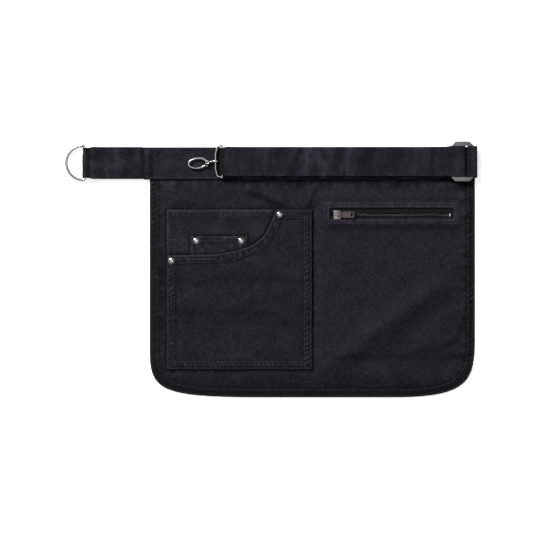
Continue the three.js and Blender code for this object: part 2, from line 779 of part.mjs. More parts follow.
// The opening's line, moved away from the opening by an inset.
function openingLine(inset) {
  const points = openingCurve.map(([across, down]) =>
    point(pocketZone.left + across * openingWidth, pocketZone.top - down * openingDepth),
  );
  return points.map((p, i) => {
    const [before, after] = [points[Math.max(i - 1, 0)], points[Math.min(i + 1, points.length - 1)]];
    const along = after.clone().sub(before).normalize();
    return point(p.x + along.y * inset, p.y - along.x * inset);
  });
}

function pocketFrontShape(inset) {
  const line = openingLine(inset).filter((p) => p.x > pocketZone.left + inset && p.y < pocketZone.top - inset);
  const start = point(pocketZone.left + inset, pocketZone.top - openingDepth - inset);
  const end = point(pocketZone.left + openingWidth + inset, pocketZone.top - inset);
  return new THREE.Shape([
    start,
    ...line,
    end,
    point(pocketZone.right - inset, pocketZone.top - inset),
    point(pocketZone.right - inset, pocketZone.bottom + inset),
    point(pocketZone.left + inset, pocketZone.bottom + inset),
  ]);
}

const facingZone = { ...pocketZone, bottom: pocketZone.top - facingLength };
const coinZone = {
  left: coinLeft,
  right: coinLeft + coinWidth,
  top: -coinTop,
  bottom: -coinTop - coinLength,
};
const facingZ = clothThickness + clearance;
const coinZ = facingZ + clothThickness + clearance;
const drapeFade = 10;

// Facing behind the opening, with a turned top edge.
function pocketFacing() {
  const { left, right, bottom, top } = facingZone;
  const body = block(left, right, bottom, top, facingZ, facingZ + clothThickness);
  const hemEnd = left + openingWidth * facingHemShare;
  const turnedEdge = block(left, hemEnd, top - pocketHem, top, facingZ, facingZ + clothThickness + hemRise);
  return body.add(turnedEdge);
}

// Coin pocket on the facing, with a turned top edge.
function coinPocket() {
  const { left, right, bottom, top } = coinZone;
  const body = block(left, right, bottom, top, coinZ, coinZ + clothThickness);
  const turnedEdge = block(left, right, top - pocketHem / 2, top, coinZ, coinZ + clothThickness + hemRise / 2);
  return body.add(turnedEdge);
}

// The pocket's front lies over the facing, and higher over the coin pocket.
function frontBottom(x, y) {
  const overFacing = plateau(x, y, facingZone, drapeFade);
  const overCoin = plateau(x, y, coinZone, drapeFade);
  return facingZ + pocketStep * overFacing + (pocketStep + hemRise / 2) * overCoin;
}

function pocketFront() {
  const nearCoin = fadeLines(coinZone, drapeFade, 'x');
  const xs = gridLines(pocketZone.left - 1, pocketZone.right + 1, pocketGridStep, nearCoin);
  const steps = [0, drapeFade / 2, drapeFade];
  const named = [...steps.map((v) => facingZone.bottom - v), ...fadeLines(coinZone, drapeFade, 'y')];
  const ys = gridLines(pocketZone.bottom - 1, pocketZone.top + 1, pocketGridStep, named);
  return hemmedSheet(pocketFrontShape(0), pocketFrontShape(pocketHem), xs, ys, frontBottom);
}

// Domed rivet heads: at the coin pocket's top corners and at both ends of the opening.
function rivetPlaces() {
  const coinTopZ = coinZ + clothThickness + hemRise / 2;
  const frontZ = frontBottom(pocketZone.left, pocketZone.top - openingDepth) + clothThickness + hemRise;
  const coinY = coinZone.top - coinRivets.drop;
  const openingY = pocketZone.top - openingDepth - openingRivets.leftDrop;
  const openingRight = pocketZone.left + openingWidth + openingRivets.right;
  return [
    { name: 'rivet_coin_left', x: coinZone.left + coinRivets.left, y: coinY, z: coinTopZ },
    { name: 'rivet_coin_right', x: coinZone.right - coinRivets.right, y: coinY, z: coinTopZ },
    { name: 'rivet_opening_left', x: pocketZone.left + openingRivets.left, y: openingY, z: frontZ },
    { name: 'rivet_opening_right', x: openingRight, y: pocketZone.top - openingRivets.rightDrop, z: frontZ },
  ];
}

function rivet(place) {
  const profile = rivetDome.map((row) => point(row.out * rivetRadius, row.up * rivetHeight));
  const geometry = new THREE.LatheGeometry(profile, 16).rotateX(Math.PI / 2);
  return solid(geometry.translate(place.x, place.y, place.z + clearance));
}

// Zip bag: two layers joined at their rim, open to the zip through the front layer.
function zipBag() {
  const whole = slab(bagShape(0), 0, bagTopZ, 5);
  const hollow = slab(bagShape(bagSeam), clothThickness, clothThickness + bagGap, 5);
  const [left, right] = [zipLeft - bagMouth.side, zipLeft + zipLength + bagMouth.side];
  const [bottom, top] = [-zipTop - zipHeight - bagMouth.height, -zipTop + bagMouth.height];
  const mouth = block(left, right, bottom, top, clothThickness, cutHigh);
  return whole.subtract(hollow).subtract(mouth);
}

// Zip tape above (side 1) or below (side -1) the chain.
function zipTape(side) {
  const near = chainY + side * (chainWidth / 2 + clearance);
  const far = near + side * tapeWidth;
  const [left, right] = [zipLeft - tapeEnd, zipLeft + zipLength + tapeEnd];
  return block(left, right, Math.min(near, far), Math.max(near, far), tapeZ, tapeZ + clothThickness);
}

const zipSliderX = zipLeft + zipSliderAt;
const chainLeft = zipSliderX + chainUnderSlider;
const zipStopX = zipLeft + zipLength - zipStop.inset;
const topPlateZ = panelOverZipZ + clothThickness + clearance;

// Closed chain of teeth as a low ridge with chamfered sides.
function zipChain() {
  const [half, low, high] = [chainWidth / 2, chainZ, chainZ + chainThickness];
  const shape = new THREE.Shape([
    point(-half, low + chainChamfer.low),
    point(-half + chainChamfer.lowIn, low),
    point(half - chainChamfer.lowIn, low),
    point(half, low + chainChamfer.low),
    point(half, high - chainChamfer.high),
    point(half - chainChamfer.highIn, high),
    point(-half + chainChamfer.highIn, high),
    point(-half, high - chainChamfer.high),
  ]);
  const length = zipStopX - clearance - chainLeft;
  const geometry = new THREE.ExtrudeGeometry(shape, { depth: length, bevelEnabled: false });
  return solid(geometry.rotateX(Math.PI / 2).rotateZ(Math.PI / 2).translate(chainLeft, chainY, 0));
}

function zipEndStop() {
  const half = chainWidth / 2 - zipStop.narrower;
  const high = chainZ + chainThickness + zipStop.rise;
  return block(zipStopX, zipStopX + zipStop.length, chainY - half, chainY + half, chainZ, high);
}

// Zip slider: plates above and below the chain, the wedge between them and the bail that holds the puller.
const lowPlateZ = chainZ - clearance - zipSliderPlate;
const bailHalf = bailReach + pullerThickness / 2;
const bailZ = topPlateZ + zipSliderPlate;
const pullerAxisX = zipSliderX + bailReach - clearance - pullerThickness / 2;
const pullerAxisZ = bailZ + bailGap / 2;

function zipSlider() {
  const [halfX, halfY] = [zipSliderLength / 2, zipSliderWidth / 2];
  const plate = (width) =>
    new THREE.Shape([
      point(-halfX, -width),
      point(halfX - plateTaper.length, -width * plateTaper.start),
      point(halfX, -width * plateTaper.end),
      point(halfX, width * plateTaper.end),
      point(halfX - plateTaper.length, width * plateTaper.start),
      point(-halfX, width),
    ]);
  const upper = slab(plate(halfY), topPlateZ, topPlateZ + zipSliderPlate);
  const lower = slab(plate(halfY - plateTaper.lowerInset), lowPlateZ, lowPlateZ + zipSliderPlate);
  const [wedgeLow, wedgeHigh] = [lowPlateZ + wedge.sunk, topPlateZ + wedge.sunk];
  const divider = block(-halfX + wedge.start, wedge.end, -wedge.half, wedge.half, wedgeLow, wedgeHigh);
  const [outer, inner] = [bailHalf + bailWall.side, bailHalf - bailWall.side];
  const high = bailZ + bailGap + bailWall.top;
  const arch = block(-outer, outer, -bailWidth / 2, bailWidth / 2, bailZ - wedge.sunk, high);
  const under = block(-inner, inner, -bailWidth, bailWidth, bailZ, bailZ + bailGap);
  return upper.add(lower).add(divider).add(arch.subtract(under)).translate([zipSliderX, chainY, 0]);
}

// Puller: a plate with an eye round the bail at one end and a window near the other.
function zipPuller() {
  const half = pullerWidth / 2;
  const neck = half * pullerNeckShare;
  const thick = pullerThickness / 2;
  const shoulder = pullerEye + pullerShoulder;
  const [cornerX, cornerY] = [pullerLength - pullerCorner.along, half - pullerCorner.across];
  const shape = new THREE.Shape([
    point(-thick, -neck),
    point(pullerEye, -neck),
    point(shoulder, -half),
    point(cornerX, -half),
    point(pullerLength - thick, -cornerY),
    point(pullerLength - thick, cornerY),
    point(cornerX, half),
    point(shoulder, half),
    point(pullerEye, neck),
    point(-thick, neck),
  ]);
  const eye = bailWidth / 2 + clearance;
  const window = half * pullerWindow.share;
  const [near, far] = [pullerLength - pullerWindow.near, pullerLength - pullerWindow.far];
  shape.holes.push(rectangle(thick, pullerEye, -eye, eye));
  shape.holes.push(rectangle(near, far, -window, window));
  return slab(shape, -thick, thick);
}

// Groups that turn as one about their own bar, and the whole apron.
function placed(x, y, z, ...children) {
  const group = new THREE.Group();
  group.position.set(x, y, z);
  group.add(...children);
  return group;
}

const ring = placed(ringX, tabY, ringZ, piece('d_ring', dRing(), nickel));
ring.rotation.y = -Math.asin((ringZ - ringRadius) / (ringReach - ringWire));

const hookPieces = [piece('hook_body', hookBody(), nickel), piece('hook_gate', hookGate(), nickel)];
const hook = placed(-loopSpacing, 0, 0, ...hookPieces);
hook.rotation.z = degrees(hookTilt);
const loopAndHook = placed(loopX, strapY + loopRise, loopZ, piece('hook_loop', hookLoop(), nickel), hook);

const slider = placed(sliderMiddle, strapY, sliderZ, piece('strap_slider', strapSlider(), satinSteel));
const puller = placed(pullerAxisX, chainY, pullerAxisZ, piece('zip_puller', zipPuller(), gunmetal));

const apron = new THREE.Group();
apron.add(
  piece('apron_panel', apronPanel(), canvas),
  piece('waistband', waistband(), canvas),
  piece('belt_tab', beltTab(), canvas),
  ring,
  piece('waist_strap', waistStrap(), canvas),
  slider,
  loopAndHook,
  piece('pocket_facing', pocketFacing(), canvas),
  piece('coin_pocket', coinPocket(), canvas),
  piece('pocket_front', pocketFront(), canvas),
  ...rivetPlaces().map((place) => piece(place.name, rivet(place), nickel)),
  piece('zip_bag', zipBag(), canvas),
  piece('zip_tape_upper', zipTape(1), tapeCloth),
  piece('zip_tape_lower', zipTape(-1), tapeCloth),
  piece('zip_chain', zipChain(), gunmetal),
  piece('zip_end_stop', zipEndStop(), nickel),
  piece('zip_slider', zipSlider(), nickel),
  puller,
);

// The origin is moved to the middle of the apron's underside.
apron.updateMatrixWorld(true);
const bounds = new THREE.Box3().setFromObject(apron, true);
const middle = bounds.getCenter(new THREE.Vector3());
apron.position.set(-middle.x, -middle.y, -bounds.min.z);

export default apron;
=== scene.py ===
import json
import math
from collections import namedtuple

import bmesh
import bpy
import numpy as np
from mathutils import Matrix, Vector, noise
from mathutils.geometry import interpolate_bezier


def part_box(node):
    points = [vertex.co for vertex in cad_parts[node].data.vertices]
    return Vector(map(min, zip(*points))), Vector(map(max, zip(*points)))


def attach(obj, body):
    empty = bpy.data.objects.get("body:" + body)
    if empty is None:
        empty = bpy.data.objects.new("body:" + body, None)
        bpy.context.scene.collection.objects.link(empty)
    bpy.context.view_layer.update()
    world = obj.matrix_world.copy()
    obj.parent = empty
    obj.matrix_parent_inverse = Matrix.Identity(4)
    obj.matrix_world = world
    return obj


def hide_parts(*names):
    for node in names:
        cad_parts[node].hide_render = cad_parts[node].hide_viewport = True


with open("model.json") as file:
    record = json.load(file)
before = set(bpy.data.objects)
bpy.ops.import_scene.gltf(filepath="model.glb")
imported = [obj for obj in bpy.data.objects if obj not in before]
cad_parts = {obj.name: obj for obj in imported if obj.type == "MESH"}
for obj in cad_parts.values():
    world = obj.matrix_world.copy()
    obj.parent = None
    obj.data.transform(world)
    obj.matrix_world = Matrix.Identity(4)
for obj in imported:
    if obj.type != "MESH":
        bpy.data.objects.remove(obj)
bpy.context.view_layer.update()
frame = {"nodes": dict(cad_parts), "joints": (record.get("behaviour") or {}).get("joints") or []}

MM = 0.001
CLOTH = 1.0
STRAP_CLOTH = 1.4
CLEARANCE = 0.3
HEM_RISE = 0.7
SEED = 7.3

Zone = namedtuple("Zone", "left right bottom top")


def box_mm(node):
    low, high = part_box(node)
    return low / MM, high / MM


def zone_of(node):
    low, high = box_mm(node)
    return Zone(low.x, high.x, low.y, high.y)


def joint_mm(name):
    found = next(j for j in frame["joints"] if j["name"] == name)
    return Vector(found["pos_m"]) / MM


# Places taken from the frame
PANEL = zone_of("apron_panel")
BAND = zone_of("waistband")
STRAP = zone_of("waist_strap")
SLIDER = zone_of("strap_slider")
POCKET = zone_of("pocket_front")
FACING = zone_of("pocket_facing")
COIN = zone_of("coin_pocket")
BAG = zone_of("zip_bag")
TAPE = zone_of("zip_tape_upper")
CHAIN = zone_of("zip_chain")
CHAIN_Y = (CHAIN.bottom + CHAIN.top) / 2
TAPE_END, SLOT_BELOW, SLOT_ABOVE = 7.0, 4.8, 8.6
SLOT = Zone(TAPE.left + TAPE_END, TAPE.right - TAPE_END, CHAIN_Y - SLOT_BELOW, CHAIN_Y + SLOT_ABOVE)
RING = joint_mm("ring_flip")
LOOP = joint_mm("loop_flip")
HOOK = joint_mm("hook_swivel")
SLIDER_MIDDLE = (SLIDER.left + SLIDER.right) / 2


# Materials


def linear(hex_colour, alpha=1.0):
    """An sRGB hex colour as linear values."""
    shares = [int(hex_colour[i : i + 2], 16) / 255 for i in (1, 3, 5)]
    return (*[c / 12.92 if c <= 0.04045 else ((c + 0.055) / 1.055) ** 2.4 for c in shares], alpha)


def add(tree, kind, inputs=None, **settings):
    """Adds a shader node with its settings, and each input linked or set."""
    made = tree.nodes.new("ShaderNode" + kind)
    for name, value in settings.items():
        setattr(made, name, value)
    for name, value in (inputs or {}).items():
        if isinstance(value, bpy.types.NodeSocket):
            tree.links.new(value, made.inputs[name])
        else:
            made.inputs[name].default_value = value
    return made


def calc(tree, operation, *values, clamp=False):
    return add(tree, "Math", dict(enumerate(values)), operation=operation, use_clamp=clamp).outputs[0]


def noise_on(tree, place, scale, detail, roughness=0.5):
    inputs = {"Vector": place, "Scale": scale, "Detail": detail, "Roughness": roughness}
    return add(tree, "TexNoise", inputs).outputs["Fac"]


def remap(tree, value, low, high, to_low=0.0, to_high=1.0):
    ends = {"Value": value, "From Min": low, "From Max": high, "To Min": to_low, "To Max": to_high}
    return add(tree, "MapRange", ends).outputs[0]


def mix(tree, share, first, second):
    inputs = {"Factor": share, "A": first, "B": second}
    return add(tree, "Mix", inputs, data_type="RGBA").outputs["Result"]


def new_material(name):
    material = bpy.data.materials.new(name)
    material.use_nodes = True
    tree = material.node_tree
    return material, tree, tree.nodes["Principled BSDF"]


def settle(shader, values):
    for name, value in values.items():
        shader.inputs[name].default_value = value


def give_relief(tree, shader, height, depth):
    bump = add(tree, "Bump", {"Height": height, "Strength": 1.0, "Distance": depth * MM})
    tree.links.new(bump.outputs[0], shader.inputs["Normal"])


def woven(name, dark, light, pitch, slub, rough, sheen, relief, worn="#48444f"):
    """A woven cloth that reads the piece's flat lay in millimetres, so the threads follow how it was cut."""
    material, tree, shader = new_material(name)
    lay = add(tree, "UVMap", uv_map="lay").outputs["UV"]
    axes = add(tree, "SeparateXYZ", {"Vector": lay}).outputs
    weave = calc(tree, "MULTIPLY", *[
        calc(tree, "SINE", calc(tree, "MULTIPLY", axes[k], math.pi / pitch)) for k in "XY"
    ])
    streaks = []
    for scale in ((1 / slub, 0.2 / slub, 1), (0.2 / slub, 1 / slub, 1)):
        scaled = add(tree, "Mapping", {"Vector": lay, "Scale": scale}).outputs[0]
        streaks.append(noise_on(tree, scaled, 1.0, 3.0, 0.6))
    cross = calc(tree, "ADD", *streaks)
    cloudy = noise_on(tree, lay, 0.045, 4.0, 0.65)
    fuzzy = noise_on(tree, lay, 0.5, 2.0, 0.7)
    mottled = calc(tree, "MULTIPLY_ADD", fuzzy, 1.25, calc(tree, "MULTIPLY_ADD", cloudy, 0.35, cross))
    share = remap(tree, mottled, 1.45, 2.15)
    # Washing fades worn edges. Shade is also painted into the colour: lighter on raised ripples, darker in
    # hollows, creases and under other parts. The attribute is 1 on worn edges and -1 in painted shade.
    wear_and_shade = add(tree, "Attribute", attribute_name="wear_and_shade").outputs["Fac"]
    share = calc(tree, "MULTIPLY_ADD", wear_and_shade, 0.6, share, clamp=True)
    ground = mix(tree, share, linear(dark), linear(light))
    faded = calc(tree, "MULTIPLY", wear_and_shade, remap(tree, fuzzy, 0.35, 0.7), clamp=True)
    tree.links.new(mix(tree, faded, ground, linear(worn)), shader.inputs["Base Color"])
    height = calc(tree, "ADD", calc(tree, "MULTIPLY_ADD", weave, 0.25, cross), fuzzy)
    give_relief(tree, shader, height, relief)
    settle(shader, {
        "Roughness": rough, "Specular IOR Level": 0.15,
        "Sheen Weight": sheen, "Sheen Roughness": 0.45, "Sheen Tint": linear("#c8c0d4"),
    })
    return material


def metal(name, colour, rough_low, rough_high, scratch, streak=(1.0, 1.0, 1.0)):
    """A metal whose roughness and fine relief follow noise in the row's frame."""
    material, tree, shader = new_material(name)
    place = add(tree, "TexCoord").outputs["Object"]
    scaled = add(tree, "Mapping", {"Vector": place, "Scale": streak}).outputs[0]
    rough = remap(tree, noise_on(tree, scaled, 260.0, 3.0), 0.3, 0.7, rough_low, rough_high)
    tree.links.new(rough, shader.inputs["Roughness"])
    give_relief(tree, shader, noise_on(tree, scaled, 1400.0, 2.0), scratch)
    settle(shader, {"Base Color": linear(colour), "Metallic": 1.0})
    return material


def spun_thread(name, dark, light):
    """Polyester sewing thread: glossier and paler than the cloth, so that rows of stitches catch light."""
    material, tree, shader = new_material(name)
    place = add(tree, "TexCoord").outputs["Object"]
    share = remap(tree, noise_on(tree, place, 180.0, 2.0), 0.35, 0.65)
    tree.links.new(mix(tree, share, linear(dark), linear(light)), shader.inputs["Base Color"])
    settle(shader, {"Roughness": 0.55})
    return material


# Cotton canvas, dyed black and washed: 0.9 mm a thread, and slubs and fading give the mottled look.
canvas = woven("washed_cotton_canvas", "#0c0b0f", "#2d2932", 0.9, 1.5, 0.9, 0.05, 0.34)
# The strap is the same canvas, sewn in layers and pressed, so it is a little smoother.
strap_canvas = woven("pressed_canvas_strap", "#0b0a0e", "#2a2630", 0.9, 1.5, 0.88, 0.05, 0.3)
# Polyester zip tape: a fine even weave, greener than the cotton and slightly glossy.
zip_cloth = woven("polyester_zip_tape", "#080909", "#161717", 0.7, 0.9, 0.75, 0.03, 0.14)
# Nickel plate on cast zinc: polished, so it mirrors the lights with faint smudges.
polished_nickel = metal("polished_nickel_plate", "#d2d0cc", 0.14, 0.26, 0.004)
# Satin nickel: tumbled and brushed along X, so highlights spread.
satin_nickel = metal("satin_nickel_plate", "#7c7b7b", 0.26, 0.42, 0.01, streak=(0.12, 1.0, 1.0))
# Nickel plate on the zip's small castings, duller than the hook's because it is only tumbled.
cast_nickel = metal("tumbled_nickel_plate", "#918e8a", 0.24, 0.4, 0.01)
# Antique copper plate on the puller, worn to a pinkish grey.
gunmetal = metal("antique_copper_plate", "#5e5655", 0.3, 0.46, 0.008)
# Gunmetal plate on the teeth.
teeth_metal = metal("gunmetal_teeth", "#6a6a6c", 0.28, 0.42, 0.01)
thread = spun_thread("polyester_thread", "#26232a", "#45414b")


# Cloth


def snap(values, named):
    """Moves the nearest inner grid line to each named value."""
    for value in named:
        nearest = min(range(1, len(values) - 1), key=lambda i: abs(values[i] - value))
        values[nearest] = value
    return values


def lines(low, high, step, named=()):
    """Even grid lines, with the nearest one moved to each named value."""
    count = max(1, round((high - low) / step))
    return snap([low + (high - low) * i / count for i in range(count + 1)], named)


def graded(low, high, fine, coarse, at_low, at_high):
    """Grid lines that are closer together within a reach of each end."""
    first = lines(low, low + at_low, fine) if at_low else [low]
    last = lines(high - at_high, high, fine) if at_high else [high]
    return first[:-1] + lines(first[-1], last[0], coarse) + last[1:]


def flat_grid(xs, ys):
    """A flat grid on the given lines."""
    bm = bmesh.new()
    columns, rows = len(xs) - 1, len(ys) - 1
    bmesh.ops.create_grid(bm, x_segments=columns, y_segments=rows, size=0.5)
    for v in bm.verts:
        v.co = (xs[round((v.co.x + 0.5) * columns)], ys[round((v.co.y + 0.5) * rows)], 0)
    return bm


def keep_lay(bm):
    """Writes where each corner lies in the flat cloth as a UV map, and gives each point's X and Y."""
    lay = bm.loops.layers.uv.new("lay")
    for face in bm.faces:
        for loop in face.loops:
            loop[lay].uv = loop.vert.co.xy
    return np.array([v.co[:] for v in bm.verts])[:, :2].T


def cut_hole(bm, zone):
    middles = [(f, f.calc_center_median()) for f in bm.faces]
    hole = [f for f, m in middles if zone.left < m.x < zone.right and zone.bottom < m.y < zone.top]
    bmesh.ops.delete(bm, geom=hole, context="FACES")


def trim(bm, outline):
    """Cuts a flat grid to a convex outline that runs anticlockwise."""
    for a, b in zip(outline, outline[1:] + outline[:1]):
        side = Vector((b.x - a.x, b.y - a.y, 0))
        if side.length < 1e-6:
            continue
        geom = bm.verts[:] + bm.edges[:] + bm.faces[:]
        outward = Vector((side.y, -side.x, 0)).normalized()
        bmesh.ops.bisect_plane(
            bm, geom=geom, dist=1e-5, plane_co=(a.x, a.y, 0), plane_no=outward, clear_outer=True
        )
    bmesh.ops.remove_doubles(bm, verts=bm.verts, dist=0.35)


def lift(bm, heights):
    """Moves the points of a flat piece up to their heights."""
    for v, z in zip(bm.verts, heights):
        v.co.z = z


def weigh(bm, tones):
    """Writes each point's wear and painted shade, from -1 where shade is painted, in creases, hollows and
    under other parts, to 1 on worn edges.
    """
    layer = bm.verts.layers.float.new("wear_and_shade")
    for v, tone in zip(bm.verts, np.clip(tones, -1, 1)):
        v[layer] = tone


def make_piece(name, bm, finish, nodes=(), body="root"):
    """A finished bmesh in millimetres as a piece in metres that rides on a body."""
    bmesh.ops.transform(bm, matrix=Matrix.Scale(MM, 4), verts=bm.verts)
    mesh = bpy.data.meshes.new(name)
    bm.to_mesh(mesh)
    bm.free()
    mesh.materials.append(finish)
    mesh.shade_smooth()
    made = bpy.data.objects.new(name, mesh)
    bpy.context.scene.collection.objects.link(made)
    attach(made, body)
    if nodes:
        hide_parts(*nodes)
    return made


def give_wall(made, thickness, offset=1.0, edge=0.35, shares=None):
    """Gives a cloth its thickness and rounds the cut edges. Shares are each point's part of the thickness."""
    wall = made.modifiers.new("wall", "SOLIDIFY")
    wall.thickness = thickness * MM
    wall.offset = offset
    wall.use_even_offset = False
    if shares is not None:
        group = made.vertex_groups.new(name="wall")
        for i, share in enumerate(shares):
            group.add([i], float(share), "REPLACE")
        wall.vertex_group = "wall"
    rounding = made.modifiers.new("edge", "BEVEL")
    rounding.width = edge * MM
    rounding.segments = 2
    rounding.limit_method = "ANGLE"
    rounding.angle_limit = math.radians(60)
    rounding.use_clamp_overlap = False


def make_laid(name, node, bm, low, thick, most):
    """A flat cloth at its heights, with a wall whose thickness varies up to the most."""
    lift(bm, low)
    made = make_piece(name, bm, canvas, [node])
    give_wall(made, most, shares=thick / most)
    return made


def make_strip(name, node, bm, places, finish, thickness, edge=0.4):
    """A flat strip bent to its places, with its wall on both sides of its middle."""
    for v, *place in zip(bm.verts, *places):
        v.co = place
    bmesh.ops.recalc_face_normals(bm, faces=bm.faces)
    made = make_piece(name, bm, finish, [node])
    give_wall(made, thickness, offset=0.0, edge=edge)
    return made


def soft_step(t):
    t = np.clip(t, 0, 1)
    return t * t * (3 - 2 * t)


def plateau(x, y, zone, fade):
    dx = np.maximum(np.maximum(zone.left - x, x - zone.right), 0)
    dy = np.maximum(np.maximum(zone.bottom - y, y - zone.top), 0)
    return soft_step(1 - np.hypot(dx, dy) / fade)


def ridge(distance, width):
    return np.exp(-((distance / width) ** 2))


def bands(*rows):
    """A sum of soft bands, each from its strength, the distance from its middle, and its width."""
    return sum(strength * ridge(distance, width) for strength, distance, width in rows)


def uneven(x, y, size, seed=0.0):
    """Smooth noise from -1 to 1 over places, with bumps about as large as size."""
    found = np.array([noise.noise(Vector((a / size, b / size, SEED + seed))) for a, b in zip(x, y)])
    return np.clip(1.8 * found, -1, 1)


def nearest_on(x, y, line):
    """Each place's distance from a line of points, and how far along the line its nearest point is."""
    best = np.full(x.shape, 1e9)
    along = np.zeros(x.shape)
    run = 0.0
    for a, b in zip(line, line[1:]):
        dx, dy = b.x - a.x, b.y - a.y
        length = math.hypot(dx, dy)
        if length < 1e-9:
            continue
        t = np.clip(((x - a.x) * dx + (y - a.y) * dy) / length**2, 0, 1)
        away = np.hypot(x - a.x - t * dx, y - a.y - t * dy)
        nearer = away < best
        best = np.where(nearer, away, best)
        along = np.where(nearer, run + t * length, along)
        run += length
    return best, along


def line_through(*corners):
    return [Vector(corner) for corner in corners]


def rim(zone, inset=0.0):
    """A zone's rim as a closed line, moved in by the inset."""
    left, right, bottom, top = zone.left + inset, zone.right - inset, zone.bottom + inset, zone.top - inset
    return line_through((left, bottom), (right, bottom), (right, top), (left, top), (left, bottom))


def pucker(distance, along, size, reach, seed=0.0):
    """Small ripples across a sewn row, from -1 to 1, that die away over a reach."""
    return uneven(along, distance * 0.35, size, seed) * ridge(distance, reach)


def roping(away, along, seed):
    """The slanting ripples that washing leaves between a hem's two rows of stitches."""
    sway = 2.4 * uneven(along, away, 16, seed)
    strength = 0.65 + 0.5 * uneven(along, away, 24, seed + 0.5)
    return ridge(away - 5.6, 3.6) * strength * np.sin(2 * math.pi * (along + 0.6 * away) / 6.4 + sway)


# Panel, as the outline that the source gives it: straight sides and corners that sweep into the hem
LEFT_CORNER = Vector((142, 59))
RIGHT_CORNER = Vector((103, 77))
CORNER_POINTS = 26
HEM = 11.0
HEM_ROWS = (1.7, 9.4)
POCKET_ROWS = (1.7, 9.8)
TUCK_LIFT, BAG_LIFT, ZIP_LIFT = 1.3, 2.8, 4.1
BAND_FADE, BAG_FADE, ZIP_FADE, POCKET_FADE = 12, 12, 9, 9
FOLD_HEIGHT = 1.3
# Soft folds, in shares of the panel's width and length
Fold = namedtuple("Fold", "x1 y1 x2 y2 spread rise")
PANEL_FOLDS = [
    Fold(0.88, 0.56, 0.57, 0.86, 0.035, 1.0),
    Fold(0.31, 0.17, 0.4, 0.22, 0.016, 0.6),
    Fold(0.515, 0.16, 0.497, 0.24, 0.016, 0.7),
    Fold(0.62, 0.9, 0.74, 0.93, 0.025, 0.6),
    Fold(0.03, 0.42, 0.026, 0.66, 0.014, 0.5),
]
# The panel's creases, in millimetres: the folds sink along them, and shade is painted dark along them, as in
# the band under the zip, along the bag's edge and on the shaded side of a broad fold
Crease = namedtuple("Crease", "x1 y1 x2 y2 spread depth")
PANEL_SHADED_CREASES = [
    Crease(-26, 99, 15, 81, 3.2, 1.0),
    Crease(59, 105, 50, 81, 2.6, 0.7),
    Crease(79, 54, 234, 54, 5.0, 0.45),
    Crease(249, -64, 241, -91, 3.6, 0.6),
    Crease(241, -91, 217, -103, 3.6, 0.6),
    Crease(217, -103, 190, -106, 3.6, 0.5),
    Crease(222, -34, 94, -128, 13, 0.35),
    Crease(-146, -20, -147, -70, 3.0, 0.5),
]
PANEL_WIDTH = PANEL.right - PANEL.left
PANEL_LENGTH = BAND.top - PANEL.bottom
FAR = 300
BAND_CUT = Zone(BAND.left - 50, BAND.right + 50, BAND.bottom - 1, BAND.top)
ZIP_ROUND = Zone(SLOT.left - 8, SLOT.right + 8, CHAIN_Y - 14.1, CHAIN_Y + 14.1)


def panel_hem_line(inset=0.0):
    """The panel's side and bottom edge as a line from the top left, round the bottom, to the top right."""
    left, right, bottom = PANEL.left + inset, PANEL.right - inset, PANEL.bottom + inset
    wide, high = LEFT_CORNER.x - inset, LEFT_CORNER.y - inset
    first = interpolate_bezier(
        Vector((left, bottom + high)), Vector((left, bottom + 0.15 * high)),
        Vector((left + 0.1 * wide, bottom)), Vector((left + wide, bottom)), CORNER_POINTS,
    )
    wide, high = RIGHT_CORNER.x - inset, RIGHT_CORNER.y - inset
    second = interpolate_bezier(
        Vector((right - wide, bottom)), Vector((right - 0.05 * wide, bottom)),
        Vector((right, bottom + 0.3 * high)), Vector((right, bottom + high)), CORNER_POINTS,
    )
    return [Vector((left, PANEL.top)), *[p.xy for p in first + second], Vector((right, PANEL.top))]


def panel_fold_rise(x, y):
    total = np.zeros(x.shape)
    for f in PANEL_FOLDS:
        ends = [(PANEL.left + a * PANEL_WIDTH, BAND.top - b * PANEL_LENGTH) for a, b in (f[:2], f[2:4])]
        away, _ = nearest_on(x, y, line_through(*ends))
        total += f.rise * FOLD_HEIGHT * ridge(away, f.spread * PANEL_WIDTH)
    return total


def panel_shaded_crease(x, y):
    """How deep each place lies in the panel's creases, from 0 to about 1. The folds sink there, and the same
    value paints shade along them.
    """
    deepest = np.zeros(x.shape)
    for c in PANEL_SHADED_CREASES:
        away, _ = nearest_on(x, y, line_through(c[:2], c[2:4]))
        deepest = np.maximum(deepest, c.depth * ridge(away, c.spread))
    return deepest


def panel_bottom(x, y):
    lifts = [
        TUCK_LIFT * plateau(x, y, BAND_CUT, BAND_FADE),
        BAG_LIFT * plateau(x, y, BAG, BAG_FADE),
        ZIP_LIFT * plateau(x, y, ZIP_ROUND, ZIP_FADE),
    ]
    loose = 1.0
    for zone, fade in ((POCKET, POCKET_FADE), (BAND_CUT, BAND_FADE), (ZIP_ROUND, ZIP_FADE)):
        loose = loose * (1 - plateau(x, y, zone, fade))
    soft = 1.5 * uneven(x, y, 42, 1) + 0.6 * uneven(x, y, 17, 2) + 0.25 * uneven(x, y, 8, 8) + 0.9
    away, _ = nearest_on(x, y, panel_hem_line())
    near_pocket, _ = nearest_on(x, y, rim(POCKET))
    sewn_down = soft_step((away - 1) / 16) * soft_step((near_pocket - 0.5) / 9)
    folds = 2.2 * panel_fold_rise(x, y) + np.maximum(soft, 0)
    return np.maximum.reduce(lifts) + loose * sewn_down * folds * (1 - 0.6 * panel_shaded_crease(x, y))


